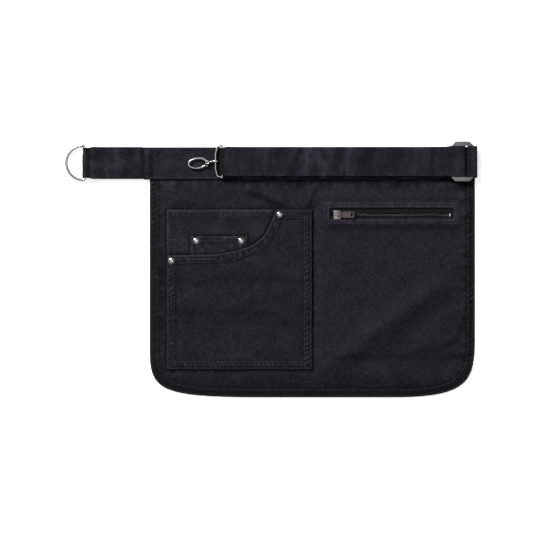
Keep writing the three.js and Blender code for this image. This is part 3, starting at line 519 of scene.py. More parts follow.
def panel_relief(x, y):
    """What the sewing does to the panel's surface: puckers along hem, band, pocket and zip."""
    away, along = nearest_on(x, y, panel_hem_line())
    grooves = bands((-0.45, away - HEM_ROWS[0], 0.9), (-0.45, away - HEM_ROWS[1], 1.1))
    hem = grooves + roping(away, along, 3) + 0.5 * pucker(away - 12, along, 6, 6, 4)
    band = 0.5 * ridge(y - BAND.bottom + 4, 9) * uneven(x, y * 0.3, 7, 5)
    pocket = 0.4 * pucker(*nearest_on(x, y, rim(POCKET, -1)), 6, 6, 6)
    rows, _ = nearest_on(x, y, rim(SLOT, -3.4))
    zip_row = 0.3 * pucker(*nearest_on(x, y, rim(SLOT, -3)), 5, 5, 7)
    zip_row = zip_row + bands((-0.4, rows, 1.0), (0.5, rows - 1.9, 1.2))
    inside = Zone(POCKET.left + 3, POCKET.right - 3, POCKET.bottom + 3, POCKET.top - 3)
    shown = (1 - plateau(x, y, inside, 2)) * (1 - plateau(x, y, Zone(-FAR, FAR, BAND.bottom, FAR), 3))
    return (hem + band + pocket + zip_row) * shown


def hem_share(distance):
    """1 in the hem and 0 past it."""
    return soft_step((HEM + 1 - distance) / 2)


def panel_faces(x, y):
    """The panel's underside and thickness, before the band presses its hem flat."""
    relief = 0.5 * panel_relief(x, y)
    away, _ = nearest_on(x, y, panel_hem_line())
    low = np.maximum(panel_bottom(x, y) + relief, 0.02)
    return low, CLOTH + HEM_RISE * hem_share(away) + np.maximum(relief, -0.3)


def apron_cloth():
    xs = snap(graded(PANEL.left, PANEL.right, 1.1, 1.95, 14, 14), (SLOT.left, SLOT.right))
    ys = snap(graded(PANEL.bottom, PANEL.top, 1.1, 1.95, 14, 0), (SLOT.bottom, SLOT.top))
    bm = flat_grid(xs, ys)
    cut_hole(bm, SLOT)
    trim(bm, panel_hem_line())
    x, y = keep_lay(bm)
    away, _ = nearest_on(x, y, panel_hem_line())
    near_slot, _ = nearest_on(x, y, rim(SLOT))
    near_pocket, _ = nearest_on(x, y, rim(POCKET))
    # Tone: lighter in bands inside the hem, beside the slot and on the folds' tops. Painted shade: along the
    # hem's edge and inner edge, a broad band inside the hem, beside the pocket and beside the slot.
    light = bands((0.4, away - 3.4, 1.2), (0.4, near_slot - 2.2, 1.3)) + 0.12 * panel_fold_rise(x, y)
    dark = bands((1.0, away, 1.5), (0.5, away - HEM - 1, 1.6), (0.8, away - 5, 6))
    dark = dark + bands((1.3, near_pocket - 0.5, 2.0), (0.5, near_slot, 1.2))
    # Painted shade along the creases, and darker towards the panel's bottom.
    dark = dark + panel_shaded_crease(x, y) + 0.5 * soft_step((PANEL.bottom + 44 - y) / 34)
    # A painted shadow that the strap casts on the panel below it.
    strap_shadow = ridge(np.maximum(BAND.bottom - 1.5 - y, 0), 3.2) * soft_step((x - LOOP.x) / 4)
    # The sewing's relief adds tone: lighter on its ripples, painted darker in its grooves.
    weigh(bm, light - dark - 1.3 * strap_shadow + 0.9 * panel_relief(x, y))
    in_band = plateau(x, y, Zone(-FAR, FAR, BAND.bottom - 0.5, FAR), 2)
    low, thick = panel_faces(x, y)
    thick = thick - HEM_RISE * hem_share(away) * in_band
    made = make_laid("apron_cloth", "apron_panel", bm, low, thick, CLOTH + HEM_RISE + 0.8)
    outline = panel_hem_line()
    area = abs(sum(a.x * b.y - b.x * a.y for a, b in zip(outline, outline[1:] + outline[:1]))) / 2
    area -= (SLOT.right - SLOT.left) * (SLOT.top - SLOT.bottom)


# Routes of folded strips


class Route:
    """A strip's middle line in X and Z, with rounded corners. Each row is a corner and its bend radius."""

    def __init__(self, rows):
        corners = [Vector(row[:2]) for row in rows]
        found = [corners[0]]
        for before, row, after in zip(corners, rows[1:-1], corners[2:]):
            corner, radius = Vector(row[:2]), row[2]
            back, ahead = (before - corner).normalized(), (after - corner).normalized()
            half = math.acos(max(-1.0, min(1.0, back.dot(ahead)))) / 2
            turn = math.pi - 2 * half
            centre = corner + (back + ahead).normalized() * (radius / math.sin(half))
            start = corner + back * (radius / math.tan(half)) - centre
            way = -1 if back.x * ahead.y - back.y * ahead.x > 0 else 1
            steps = max(2, math.ceil(turn / math.radians(8)))
            found += [centre + Matrix.Rotation(way * turn * k / steps, 2) @ start for k in range(steps + 1)]
        found.append(corners[-1])
        points = np.array([p[:] for p in found])
        runs = run_along(points)
        keep = np.concatenate([[True], np.diff(runs) > 1e-6])
        self.runs, self.points = runs[keep], points[keep]
        self.length = self.runs[-1]

    def at(self, run):
        return np.array([np.interp(run, self.runs, self.points[:, k]) for k in (0, 1)])

    def side(self, run):
        """The direction square to the line, on the left of its way."""
        ahead = self.at(run + 0.4) - self.at(run - 0.4)
        ahead = ahead / np.maximum(np.hypot(*ahead), 1e-9)
        return np.array([-ahead[1], ahead[0]])

    def run_at_x(self, x, after=0.0):
        """How far along the line it first passes an X, past a given run."""
        for i in range(len(self.runs) - 1):
            a, b = self.points[i][0], self.points[i + 1][0]
            if self.runs[i] >= after and min(a, b) <= x <= max(a, b) and a != b:
                return self.runs[i] + (self.runs[i + 1] - self.runs[i]) * (x - a) / (b - a)
        return self.length


def run_along(points):
    """How far along a line each of its points is."""
    return np.concatenate([[0], np.cumsum(np.hypot(*np.diff(points, axis=0).T))])


# Waistband
BAND_CREASE = line_through((-140.9, 153.0), (-147.4, 144.9))
BAND_VALLEY = line_through((-153.8, 121), (-153.8, 155))


def band_cloth():
    """Canvas folded over the panel's top edge: a U whose legs point down the apron."""
    low, high = box_mm("waistband")
    mid = CLOTH / 2
    curve = (high.z - low.z - CLOTH) / 2
    route = Route([
        (low.y, low.z + mid),
        (high.y - mid, low.z + mid, curve),
        (high.y - mid, high.z - mid, curve),
        (low.y, high.z - mid),
    ])
    bm = flat_grid(lines(low.x, high.x, 2.2), lines(0, route.length, 1.7))
    x, run = keep_lay(bm)
    y, z = route.at(run)
    ny, nz = route.side(run)
    past_fold = run - route.length / 2
    on_top = soft_step(past_fold / 8)
    ripples = 0.5 * uneven(x + 0.5 * y, y, 4, 11) * ridge(y - low.y - 3, 7) + 0.6 * uneven(x, y, 16, 12)
    crease, _ = nearest_on(x, y, BAND_CREASE)
    valley, _ = nearest_on(x, y, BAND_VALLEY)
    out = on_top * (np.maximum(ripples + 0.5, 0) + bands((0.9, crease - 3, 2.5), (0.7, valley - 5, 3)))
    under_hook = plateau(x, y, Zone(HOOK.x - 39, LOOP.x + 2, low.y - 1, high.y - 3), 8)
    out = out * (1 - 0.7 * ridge(past_fold, 6)) * (1 - under_hook)
    # Tone: lighter along the bottom edge, beside the crease and near the left end. Painted shade: at the
    # bottom edge, along the fold, in the crease and the valley, at the left end, in the trench between the
    # loop's bar and the strap's fold, and a painted shadow under the strap. The ripples add tone, painted
    # darker where they sink.
    light = bands((0.3, y - low.y - 1.2, 1.2), (0.3, crease - 3, 2.5), (0.3, x - low.x - 4, 4))
    dark = bands((1.0, y - low.y, 1.0), (0.7, past_fold, 3), (0.8, crease, 1.8), (0.8, valley, 2.4))
    trench_shade = Zone(LOOP.x - 7.6, LOOP.x - 2, low.y + 4, high.y - 1)
    strap_shadow = soft_step((STRAP.bottom + 2 - y) / 1.5) * soft_step((x - LOOP.x) / 4)
    dark = dark + 0.8 * ridge(x - low.x, 1.4) + 1.2 * plateau(x, y, trench_shade, 2) + 1.3 * strap_shadow
    weigh(bm, (light - dark + 0.5 * ripples) * on_top)
    places = (x, y - ny * out, z - nz * out)
    made = make_strip("band_cloth", "waistband", bm, places, canvas, CLOTH, edge=0.3)


# Tab and ring
RING_WIRE, RING_REACH, RING_HALF, RING_CORNER = 4.0, 29.2, 22.0, 2.4
TAB_CLOTH = 1.4
TAB_TONGUE = 19
TAB_TAPER = 9
TAB_HALF_AT_RING = 19.3


def tab_cloth():
    """A strip folded back round the ring's bar, its upper end in the band."""
    low, high = box_mm("belt_tab")
    radius = RING_WIRE / 2
    fold = radius + CLEARANCE + TAB_CLOTH / 2
    band_end = BAND.left
    tongue_z = CLOTH + CLEARANCE + TAB_CLOTH / 2
    upper_z = 1.5 * TAB_CLOTH + CLEARANCE
    route = Route([
        (band_end + TAB_TONGUE, tongue_z),
        (band_end - 1, tongue_z, 3),
        (band_end - 4, upper_z, 3),
        (RING.x + 24, upper_z, 12),
        (RING.x + 8, RING.z + fold, 10),
        (RING.x - fold, RING.z + fold, fold),
        (RING.x - fold, RING.z - fold, fold),
        (band_end - 3 * CLEARANCE, TAB_CLOTH / 2),
    ])
    wide = (high.y - low.y) / 2
    bm = flat_grid(lines(-wide, wide, 1.5), lines(0, route.length, 1.5))
    across, run = keep_lay(bm)
    x, z = route.at(run)
    nx, nz = route.side(run)
    narrow = soft_step((RING.x + radius + TAB_TAPER - x) / TAB_TAPER)
    in_band = soft_step((x - band_end + 1) / 2)
    width = wide - (wide - TAB_HALF_AT_RING) * narrow - 1.8 * in_band
    y = (low.y + high.y) / 2 + across / wide * width
    upper = soft_step((z - 2.2) / 1.2)
    ripples = 0.5 * uneven(x, y, 8, 21) + 0.5 * uneven(x, y, 20, 22)
    sewn_flat = soft_step((x - RING.x - 1) / 6) * soft_step((RING.x + 26 - x) / 16)
    out = np.maximum(ripples + 0.3, -0.1) * upper * (1 - in_band) - 1.5 * sewn_flat * upper
    from_ring = x - RING.x
    # Tone: lighter along the fold over the ring's bar and in a band behind it. Painted shade: either side of
    # the ring's bar, at the band's edge and along both sides; the ripples add tone, painted darker where they
    # sink.
    light = bands((0.5, from_ring - 0.4, 0.8), (0.3, from_ring - 9, 1.4))
    dark = bands((0.9, from_ring - 2.6, 2.2), (0.7, from_ring + 3, 1.6), (0.6, x - band_end + 1.6, 1.4))
    weigh(bm, light - dark - 0.8 * ridge(np.abs(across) - wide, 1.4) + 0.6 * ripples)
    places = (x - nx * out, y, z - nz * out)
    made = make_strip("tab_cloth", "belt_tab", bm, places, strap_canvas, TAB_CLOTH)


# Strap
SLIDER_MIDDLE_BAR = 4.0
STRAP_ROOT, STRAP_FOLD_REACH, STRAP_SEWN_END, STRAP_ROOT_DROP = 22, 4.6, 52, 2.0
LOOP_WIRE = 2.4
STRAP_WIDTH = 38.0
PAST_ROOT = 60


def strap_route():
    low, high = box_mm("waist_strap")
    mid = STRAP_CLOTH / 2
    step = STRAP_CLOTH + CLEARANCE
    root_z = low.z + mid
    low_run = box_mm("waistband")[1].z + CLEARANCE + mid
    high_run = low_run + step
    sewn_run = high_run + step
    over_slider = high.z - mid
    wrap = (over_slider - high_run) / 2
    fold_x = BAND.right + STRAP_FOLD_REACH - mid
    fold_bend = STRAP_FOLD_REACH - mid - 0.2
    wrap_x = SLIDER_MIDDLE + SLIDER_MIDDLE_BAR / 2 + wrap
    down_x = wrap_x + step + 1.5
    sewn_x = SLIDER.left - STRAP_SEWN_END / 2
    fold = (LOOP_WIRE + STRAP_CLOTH) / 2 + CLEARANCE
    return Route([
        (BAND.right - STRAP_ROOT, root_z),
        (fold_x, root_z, fold_bend),
        (fold_x, over_slider, fold_bend),
        (down_x, over_slider, 1.1),
        (down_x, low_run, 1.1),
        (LOOP.x - fold, low_run, fold),
        (LOOP.x - fold, LOOP.z + fold, fold),
        (LOOP.x + 4, LOOP.z + fold, 8),
        (LOOP.x + 24, high_run, 20),
        (sewn_x - 14, high_run, 10),
        (sewn_x - 4, sewn_run, 6),
        (SLIDER.left - 10, sewn_run, 6),
        (SLIDER.left - 3, over_slider, 4),
        (wrap_x, over_slider, wrap),
        (wrap_x, high_run, wrap),
        (sewn_x, high_run),
    ])


STRAP_WAY = strap_route()
LOOP_RUN = STRAP_WAY.run_at_x(LOOP.x, PAST_ROOT)


def strap_place(across, run):
    """Where a place on the strap lies: across from its top edge down, and run along it."""
    x, z = STRAP_WAY.at(run)
    nx, nz = STRAP_WAY.side(run)
    on_top = soft_step((run - LOOP_RUN - 12) / 20) * soft_step((z - 6.2) / 0.6)
    wave = uneven(x, across * 0.25, 13, 31) + 0.55 * uneven(x, across * 0.5, 6, 32)
    tugged = ridge(x - 70, 75) + 0.45
    at_edges = bands((1.0, across - 1.5, 2.2), (1.0, across - STRAP_WIDTH + 1.5, 2.2))
    edge_ripple = 0.5 * uneven(x, 0 * x, 3.6, 33) * at_edges
    out = on_top * np.maximum(wave * tugged + edge_ripple + 0.5, 0)
    dropped = soft_step((9.5 - z) / 7) * soft_step((x - BAND.right + 2) / 2)
    dropped = np.where(z < 3, 1.0, dropped)
    # The loop pinches the strap, and it spreads over the slider.
    at_slider = soft_step((x - SLIDER.left + 8) / 8) * soft_step((z - 6) / 1.5)
    pinch = 0.09 * soft_step((LOOP.x + 5 - x) / 6) - 0.047 * at_slider
    y = STRAP.top - across - STRAP_ROOT_DROP * dropped + (across - STRAP_WIDTH / 2) * pinch
    return np.array([x - nx * out, y, z - nz * out])


def strap_cloth():
    bm = flat_grid(lines(0, STRAP_WIDTH, 1.6), lines(0, STRAP_WAY.length, 1.6))
    across, run = keep_lay(bm)
    places = strap_place(across, run)
    x = places[0]
    # The tone follows the strap's waves: lighter on their tops, painted darker in their hollows. Lighter just
    # inside both edges. Painted shade: along both edges, on the fold round the loop's bar, near the sewn end
    # and where the strap dives into the slider.
    folds = 0.8 * uneven(x, across * 0.25, 13, 31) + 0.4 * uneven(x, across * 0.5, 6, 32)
    light = bands((0.3, across - 1.8, 1.0), (0.3, across - STRAP_WIDTH + 1.8, 1.0))
    dark = bands(
        (0.7, across, 0.9), (0.7, across - STRAP_WIDTH, 0.9), (1.1, x - LOOP.x + 2.2, 2.4),
        (0.7, x - SLIDER.left + 24, 1.2), (0.9, x - SLIDER_MIDDLE - 8.5, 1.8),
    )
    weigh(bm, 0.6 * folds * (0.4 + 0.6 * ridge(x - 70, 90)) + light - dark)
    made = make_strip("strap_cloth", "waist_strap", bm, places, strap_canvas, STRAP_CLOTH)


# Patch pocket
OPENING_WIDTH, OPENING_DEPTH = 141, 59
OPENING_RIGHT = POCKET.left + OPENING_WIDTH
OPENING = [
    (0, 1), (0.22, 0.992), (0.4, 0.982), (0.55, 0.941), (0.67, 0.873),
    (0.79, 0.76), (0.873, 0.608), (0.925, 0.43), (0.96, 0.24), (1, 0),
]
FACING_Z = CLOTH + CLEARANCE
COIN_Z = FACING_Z + CLOTH + CLEARANCE
DRAPE_FADE = 10
PUFF = 0.8
FrontCrease = namedtuple("FrontCrease", "height tilt size seed")
FRONT_CREASES = [FrontCrease(-8.206, 0.03, 0.45, 276), FrontCrease(-50.776, -0.02, 0.5, 309)]


def smooth_line(points, steps=6):
    """A line of points with a smooth curve through them."""
    found = []
    for i in range(len(points) - 1):
        before, a, b, after = (points[max(0, min(len(points) - 1, i + k))] for k in (-1, 0, 1, 2))
        for k in range(steps):
            t = k / steps
            found.append(
                0.5 * (2 * a + (b - before) * t + (2 * before - 5 * a + 4 * b - after) * t**2
                       + (3 * a - before - 3 * b + after) * t**3)
            )
    return [*found, points[-1]]


def opening_line(inset=0.0):
    corners = [(POCKET.left + a * OPENING_WIDTH, POCKET.top - b * OPENING_DEPTH) for a, b in OPENING]
    points = smooth_line(line_through(*corners))
    moved = []
    for i, p in enumerate(points):
        along = (points[min(i + 1, len(points) - 1)] - points[max(i - 1, 0)]).normalized()
        moved.append(Vector((p.x + along.y * inset, p.y - along.x * inset)))
    return moved


def opening_y(x):
    """The opening's height above each place along the pocket."""
    line = opening_line()
    return np.interp(x, [p.x for p in line], [p.y for p in line])


def front_sides(x, y):
    """How far a place lies inside the front's sides and bottom edge."""
    return np.minimum(np.minimum(x - POCKET.left, POCKET.right - x), y - POCKET.bottom)


def front_bottom(x, y):
    over_facing = plateau(x, y, FACING, DRAPE_FADE)
    over_coin = plateau(x, y, COIN, DRAPE_FADE)
    step = CLOTH + CLEARANCE
    puffed = PUFF * soft_step(front_sides(x, y) / 5)
    return FACING_Z + puffed + step * over_facing + (step + HEM_RISE / 2) * over_coin


def front_edge_distance(x, y):
    """How far a place on the pocket's front is from its nearest edge, the curved opening among them."""
    from_opening, along = nearest_on(x, y, opening_line())
    top = np.where(x > OPENING_RIGHT, POCKET.top - y, 1e9)
    return np.minimum(np.minimum(from_opening, front_sides(x, y)), top), from_opening, along


def front_relief(x, y):
    away, from_opening, along = front_edge_distance(x, y)
    _, round_run = nearest_on(x, y, rim(POCKET))
    grooves = bands((-0.45, away - POCKET_ROWS[0], 0.9), (-0.45, away - POCKET_ROWS[1], 1.1))
    hem = grooves + 0.8 * roping(away, round_run, 41)
    curve = 0.35 * pucker(from_opening - 9, along, 5, 6, 42)
    sag = 1.2 * uneven(x, y * 1.4, 34, 43) + 0.6 * uneven(x, y, 15, 44) + 0.25 * uneven(x, y, 7, 45)
    creases = 0.0
    for c in FRONT_CREASES:
        from_crease = y - c.height - c.tilt * (x - POCKET.left)
        creases = creases + c.size * ridge(from_crease, 5) * (0.6 + 0.6 * uneven(x, 0 * x, 30, c.seed))
    inner = soft_step((away - HEM) / 12)
    return hem + curve + inner * (np.maximum(sag + 0.25, -0.15) + creases)


def front_faces(x, y):
    """The front's underside and thickness."""
    relief = front_relief(x, y)
    hem = HEM_RISE * hem_share(front_edge_distance(x, y)[0])
    low = front_bottom(x, y) + 0.6 * np.maximum(relief, -0.3)
    return low, CLOTH + hem + 0.4 * np.clip(relief, -0.6, 0.6)


def pocket_front_cloth():
    """The front, whose upper rows of points rise evenly to the curved opening."""
    top_zone = POCKET.top - OPENING_DEPTH - 24
    count = 52
    columns = lines(POCKET.left, POCKET.right, 1.3, [OPENING_RIGHT])
    bm = flat_grid(columns, lines(POCKET.bottom, top_zone, 1.4) + [top_zone + k + 1 for k in range(count)])
    line = opening_line()
    line_x, line_y = [p.x for p in line], [p.y for p in line]
    for v in bm.verts:
        if v.co.y > top_zone + 0.5:
            share = (v.co.y - top_zone) / count
            top = POCKET.top if v.co.x >= OPENING_RIGHT else np.interp(v.co.x, line_x, line_y)
            v.co.y = top_zone + share * (top - top_zone)
    x, y = keep_lay(bm)
    away, from_opening, _ = front_edge_distance(x, y)
    # Tone: lighter at the worn edges and along the opening. Painted shade: inside the hem's step and beside
    # the outer row of stitches.
    light = bands((0.8, away - 1.0, 1.0), (0.5, from_opening - 0.9, 1.1))
    dark = bands((0.35, away - HEM - 0.6, 1.4), (0.3, away - POCKET_ROWS[0] - 1.6, 1.0))
    # Painted shade below each crease.
    for c in FRONT_CREASES:
        from_crease = y - c.height + 5 + 5 * uneven(x, 0 * x, 34, c.seed)
        dark = dark + 0.3 * ridge(from_crease, 4.5) * (0.6 + 0.6 * uneven(x, y, 30, c.seed + 1))
    inner = soft_step((away - HEM) / 12)
    # The relief adds tone, lighter on its ridges and painted darker in its grooves, mostly near the edges;
    # the whole front is a little darker.
    weigh(bm, light - dark + (0.9 - 0.82 * inner) * front_relief(x, y) - 0.12)
    made = make_laid("pocket_front_cloth", "pocket_front", bm, *front_faces(x, y), CLOTH + HEM_RISE + 0.5)


def facing_bottom(x, y):
    """The facing stands off the panel, and dips to the panel under the edge of the opening."""
    from_opening, _ = nearest_on(x, y, opening_line())
    hidden = (y < opening_y(x)) & (x < OPENING_RIGHT)
    edge = np.minimum(x - FACING.left, FACING.top - y)
    dip = np.where(hidden, 1.0, soft_step((2.2 - from_opening) / 1.8))
    return FACING_Z + PUFF * soft_step(edge / 4 + 0.35) * (1 - dip)


def facing_relief(x, y):
    from_left, from_top = x - FACING.left, FACING.top - y
    shown = (y > opening_y(x)) & (x < OPENING_RIGHT)
    under_coin = plateau(x, y, Zone(COIN.left - 1, COIN.right + 1, COIN.bottom, COIN.top + 1), 3)
    rows = bands((-0.4, from_top - 1.7, 0.9), (-0.4, from_top - 11.6, 1.0))
    sides = bands((-0.4, from_left - 1.7, 0.9), (-0.4, from_left - 9.8, 1.0))
    roped = roping(from_top, x, 52) + roping(from_left, y, 54)
    hems = bands((1.0, from_top - 6, 6), (1.0, from_left - 5, 5))
    folds = 0.4 * uneven(x, y, 24, 51) + 0.7 * roped + 0.15 * hems * uneven(x, y, 7, 53)
    return (rows + sides + np.maximum(folds, -0.3)) * shown * (1 - under_coin)


def facing_faces(x, y):
    """The facing's underside and thickness."""
    relief = facing_relief(x, y)
    hem = soft_step((y - FACING.top + HEM + 1) / 2) * soft_step((OPENING_RIGHT - 4 - x) / 4)
    return facing_bottom(x, y) + 0.6 * relief, CLOTH + HEM_RISE * hem + 0.3 * relief


def facing_cloth():
    bm = flat_grid(lines(FACING.left, FACING.right, 1.5), lines(FACING.bottom, FACING.top, 1.3))
    x, y = keep_lay(bm)
    from_opening, _ = nearest_on(x, y, opening_line())
    near_coin, _ = nearest_on(x, y, rim(COIN))
    from_top = FACING.top - y
    # Tone: lighter at the worn top and left edges. Painted shade: along the pocket's opening, round the coin
    # pocket and below the hem; the relief adds tone, painted darker in its grooves.
    light = bands((0.8, from_top - 1.0, 1.0), (0.8, x - FACING.left - 1.0, 1.0))
    dark = bands((1.7, from_opening - 0.6, 2.0), (1.2, near_coin - 0.5, 1.7))
    dark = dark + 0.3 * ridge(from_top - HEM - 1.6, 1.4)
    weigh(bm, light - dark + 0.6 * facing_relief(x, y))
    made = make_laid("facing_cloth", "pocket_facing", bm, *facing_faces(x, y), CLOTH + HEM_RISE + 0.4)


def coin_faces(x, y):
    """The coin pocket: sewn down at its sides, turned at its top, and loose where it opens."""
    hem = soft_step((y - COIN.top + 7) / 2)
    side = np.minimum(x - COIN.left, COIN.right - x)
    open_part = soft_step((y - COIN.bottom - 45) / 10)
    rows = bands((-0.4, side - 2.4, 0.9), (-0.4, side - 9.4, 1.0), (-0.4, COIN.top - y - 1.6, 0.8))
    puffed = PUFF * open_part * soft_step(side / 2 + 0.2)
    ripples = 0.4 * uneven(x, y, 9, 61) + 0.5 * ridge(side - 6, 5) * uneven(x * 0.2, y, 3.0, 62)
    low = COIN_Z + puffed + np.maximum(open_part * (ripples + rows), -0.5)
    return low, CLOTH + HEM_RISE / 2 * hem


def coin_cloth():
    bm = flat_grid(lines(COIN.left, COIN.right, 1.2), lines(COIN.bottom, COIN.top, 1.2))
    x, y = keep_lay(bm)
    side = np.minimum(x - COIN.left, COIN.right - x)
    from_top = COIN.top - y
    from_opening, _ = nearest_on(x, y, opening_line())
    # Tone: lighter at the worn top edge and sides. Painted shade: under the edge of the pocket's opening,
    # below the turned top and inside the side rows.
    light = bands((0.5, from_top - 0.8, 0.9), (0.3, side - 0.8, 0.9))
    dark = bands((1.2, from_opening - 0.6, 1.7), (0.4, from_top - 7.6, 1.2), (0.3, side - 5.5, 1.6))
    weigh(bm, light - dark + 0.4 * uneven(x, y, 5, 62))
    made = make_laid("coin_pocket_cloth", "coin_pocket", bm, *coin_faces(x, y), CLOTH + HEM_RISE)


# Zip pocket
BAG_CORNER, BAG_CORNER_STEPS, BAG_STEP = 42, 12, 3.0
BAG_HOLE = Zone(SLOT.left - 1, SLOT.right + 1, SLOT.bottom - 2, SLOT.top + 2)


def bag_outline():
    found = [Vector((BAG.left, BAG.top))]
    for centre_x, start in ((BAG.left + BAG_CORNER, 180), (BAG.right - BAG_CORNER, 270)):
        for k in range(BAG_CORNER_STEPS + 1):
            angle = math.radians(start + 90 * k / BAG_CORNER_STEPS)
            around = Vector((math.cos(angle), math.sin(angle))) * BAG_CORNER
            found.append(Vector((centre_x, BAG.bottom + BAG_CORNER)) + around)
    return [*found, Vector((BAG.right, BAG.top))]


def add_copy(target, bm):
    """Adds one bmesh to another and frees it."""
    held = bpy.data.meshes.new("held")
    bm.to_mesh(held)
    bm.free()
    target.from_mesh(held)
    bpy.data.meshes.remove(held)


def bag_cloth():
    """The bag's two layers, sewn together at the rim, the upper one open at the zip."""
    low, high = box_mm("zip_bag")
    both = bmesh.new()
    for base, has_hole, way in ((low.z, False, 1), (high.z - CLOTH, True, -1)):
        xs = lines(BAG.left, BAG.right, BAG_STEP, BAG_HOLE[:2])
        bm = flat_grid(xs, lines(BAG.bottom, BAG.top, BAG_STEP, BAG_HOLE[2:]))
        if has_hole:
            cut_hole(bm, BAG_HOLE)
        trim(bm, bag_outline())
        x, y = keep_lay(bm)
        away, _ = nearest_on(x, y, bag_outline() + bag_outline()[:1])
        lift(bm, base + way * 0.22 * ridge(away, 4))
        weigh(bm, 0.4 * ridge(away, 1.5))
        add_copy(both, bm)
    made = make_piece("bag_cloth", both, canvas, ["zip_bag"])
    give_wall(made, CLOTH, edge=0.3)


def tape_cloth(name, node):
    low, high = box_mm(node)
    bm = flat_grid(lines(low.x, high.x, 1.6), lines(low.y, high.y, 1.1))
    x, y = keep_lay(bm)
    weigh(bm, 0.0 * x)
    lift(bm, low.z + 0.12 + 0.1 * uneven(x, y, 14, 71))
    made = make_piece(name, bm, zip_cloth, [node])
    give_wall(made, high.z - low.z - 0.25, edge=0.2)


TOOTH_PITCH, TOOTH_SHIFT, TOOTH_EDGE = 1.1, 0.8, 0.3


def zip_teeth():
    """Moulded teeth, turn about from each side, over the ridge that the source gives them."""
    low, high = box_mm("zip_chain")
    count = int((high.x - low.x) / TOOTH_PITCH)
    bm = bmesh.new()
    for i in range(count):
        side = 1 if i % 2 else -1
        x = low.x + (i + 0.5) * (high.x - low.x) / count
        wave = 0.35 * math.sin(x / 14) + 0.2 * math.sin(x / 5.3)
        centre = Matrix.Translation((x, CHAIN_Y + side * TOOTH_SHIFT + wave, (low.z + high.z) / 2))
        size = Matrix.Diagonal((1.0, 1.5, high.z - low.z, 1))
        tooth = bmesh.ops.create_cube(bm, size=1.0, matrix=centre @ size)["verts"]
        edges = list({e for v in tooth for e in v.link_edges})
        bmesh.ops.bevel(
            bm, geom=edges, offset=TOOTH_EDGE, segments=1, profile=0.5, material=-1, affect="EDGES"
        )
    make_piece("zip_teeth", bm, teeth_metal, ["zip_chain"])


# Stitches
STITCH_PITCH, STITCH_LENGTH = 3.3, 2.5
STITCH_RISE = 0.05


def lay_stitches(bm, ends, radius=0.34):
    """Adds one small stitch between each pair of places, made a few at a time because that is quicker."""
    for first in range(0, len(ends), 24):
        few = bmesh.new()
        for start, end in ends[first : first + 24]:
            along = end - start
            turn = along.to_track_quat("X", "Z").to_matrix().to_4x4()
            size = Matrix.Diagonal((along.length / 2 + radius / 2, radius, radius, 1))
            matrix = Matrix.Translation((start + end) / 2) @ turn @ size
            bmesh.ops.create_uvsphere(few, u_segments=6, v_segments=4, radius=1.0, matrix=matrix)
        add_copy(bm, few)


def stitch_row(bm, path, surface):
    """A row of stitches along a flat line. Surface gives a place's height."""
    points = np.array([p[:2] for p in path])
    runs = run_along(points)
    count = max(1, int(runs[-1] / STITCH_PITCH))
    half = STITCH_LENGTH / 2
    ends = np.array([[(k + 0.5) * runs[-1] / count + side * half for side in (-1, 1)] for k in range(count)])
    x, y = (np.interp(ends.ravel(), runs, points[:, k]) for k in (0, 1))
    places = [Vector(p) for p in np.array([x, y, surface(x, y)]).T]
    lay_stitches(bm, list(zip(places[::2], places[1::2])))


def sew(name, *parts):
    """A piece of stitches. Each part is a surface and the lines that are sewn on it."""
    bm = bmesh.new()
    for surface, rows in parts:
        for line in rows:
            stitch_row(bm, line, surface)
    make_piece(name, bm, thread)


def top_of(faces):
    """The stitched surface of a cloth, from the function that gives its underside and thickness."""
    return lambda x, y: sum(faces(x, y)) + STITCH_RISE


def across_at(y, left, right):
    return line_through((left, y), (right, y))


def strap_stitch(*places):
    """Both ends of a stitch on the strap's outside, each from its place across and along the strap."""
    ends = []
    for across, run in places:
        place = strap_place(np.array([across]), np.array([run]))[:, 0]
        side = STRAP_WAY.side(np.array([run]))[:, 0]
        ends.append(Vector(place) - Vector((side[0], 0, side[1])) * (STRAP_CLOTH / 2 + 0.02))
    return ends


def panel_stitches():
    rows = []
    for inset in HEM_ROWS:
        line = panel_hem_line(inset)
        line[0].y = line[-1].y = BAND.bottom - 2
        rows.append(line)
    rows.append(rim(Zone(SLOT.left - 1.8, SLOT.right + 2.6, SLOT.bottom - 3.4, SLOT.top + 3.4)))
    sew("panel_stitches", (top_of(panel_faces), rows))


def pocket_stitches():
    start_y = POCKET.top - OPENING_DEPTH - 2
    rows = []
    for inset in POCKET_ROWS:
        corners = rim(POCKET, inset)
        rows.append([Vector((corners[0].x, start_y)), *corners[:3]])
    rows.append(opening_line(POCKET_ROWS[0] - 0.2)[3:-2])
    inner = opening_line(POCKET_ROWS[1])
    rows.append([p for p in inner if POCKET.left + 10 < p.x and p.y < POCKET.top - 11])
    rows.append(across_at(POCKET.top - 1.7, OPENING_RIGHT + 2, POCKET.right - 1))
    rows.append(across_at(POCKET.top - 10.2, OPENING_RIGHT + 10, POCKET.right - 1))
    sew("pocket_stitches", (top_of(front_faces), rows))


def facing_stitches():
    bottom_y = POCKET.top - OPENING_DEPTH + 1.5
    on_facing = [
        across_at(FACING.top - drop, FACING.left + 1.5, OPENING_RIGHT - 4 - drop * 0.3)
        for drop in (1.7, 11.6)
    ]
    for inset in POCKET_ROWS:
        x = FACING.left + inset
        on_facing.append(line_through((x, FACING.top - 2), (x, bottom_y)))
    on_coin = [
        line_through((x, COIN.top - 1), (x, COIN.bottom + 60))
        for inset in (2.4, 9.4) for x in (COIN.left + inset, COIN.right - inset)
    ]
    on_coin += [across_at(COIN.top - drop, COIN.left + 1, COIN.right - 1) for drop in (1.6, 6.4)]
    sew("facing_stitches", (top_of(facing_faces), on_facing), (top_of(coin_faces), on_coin))


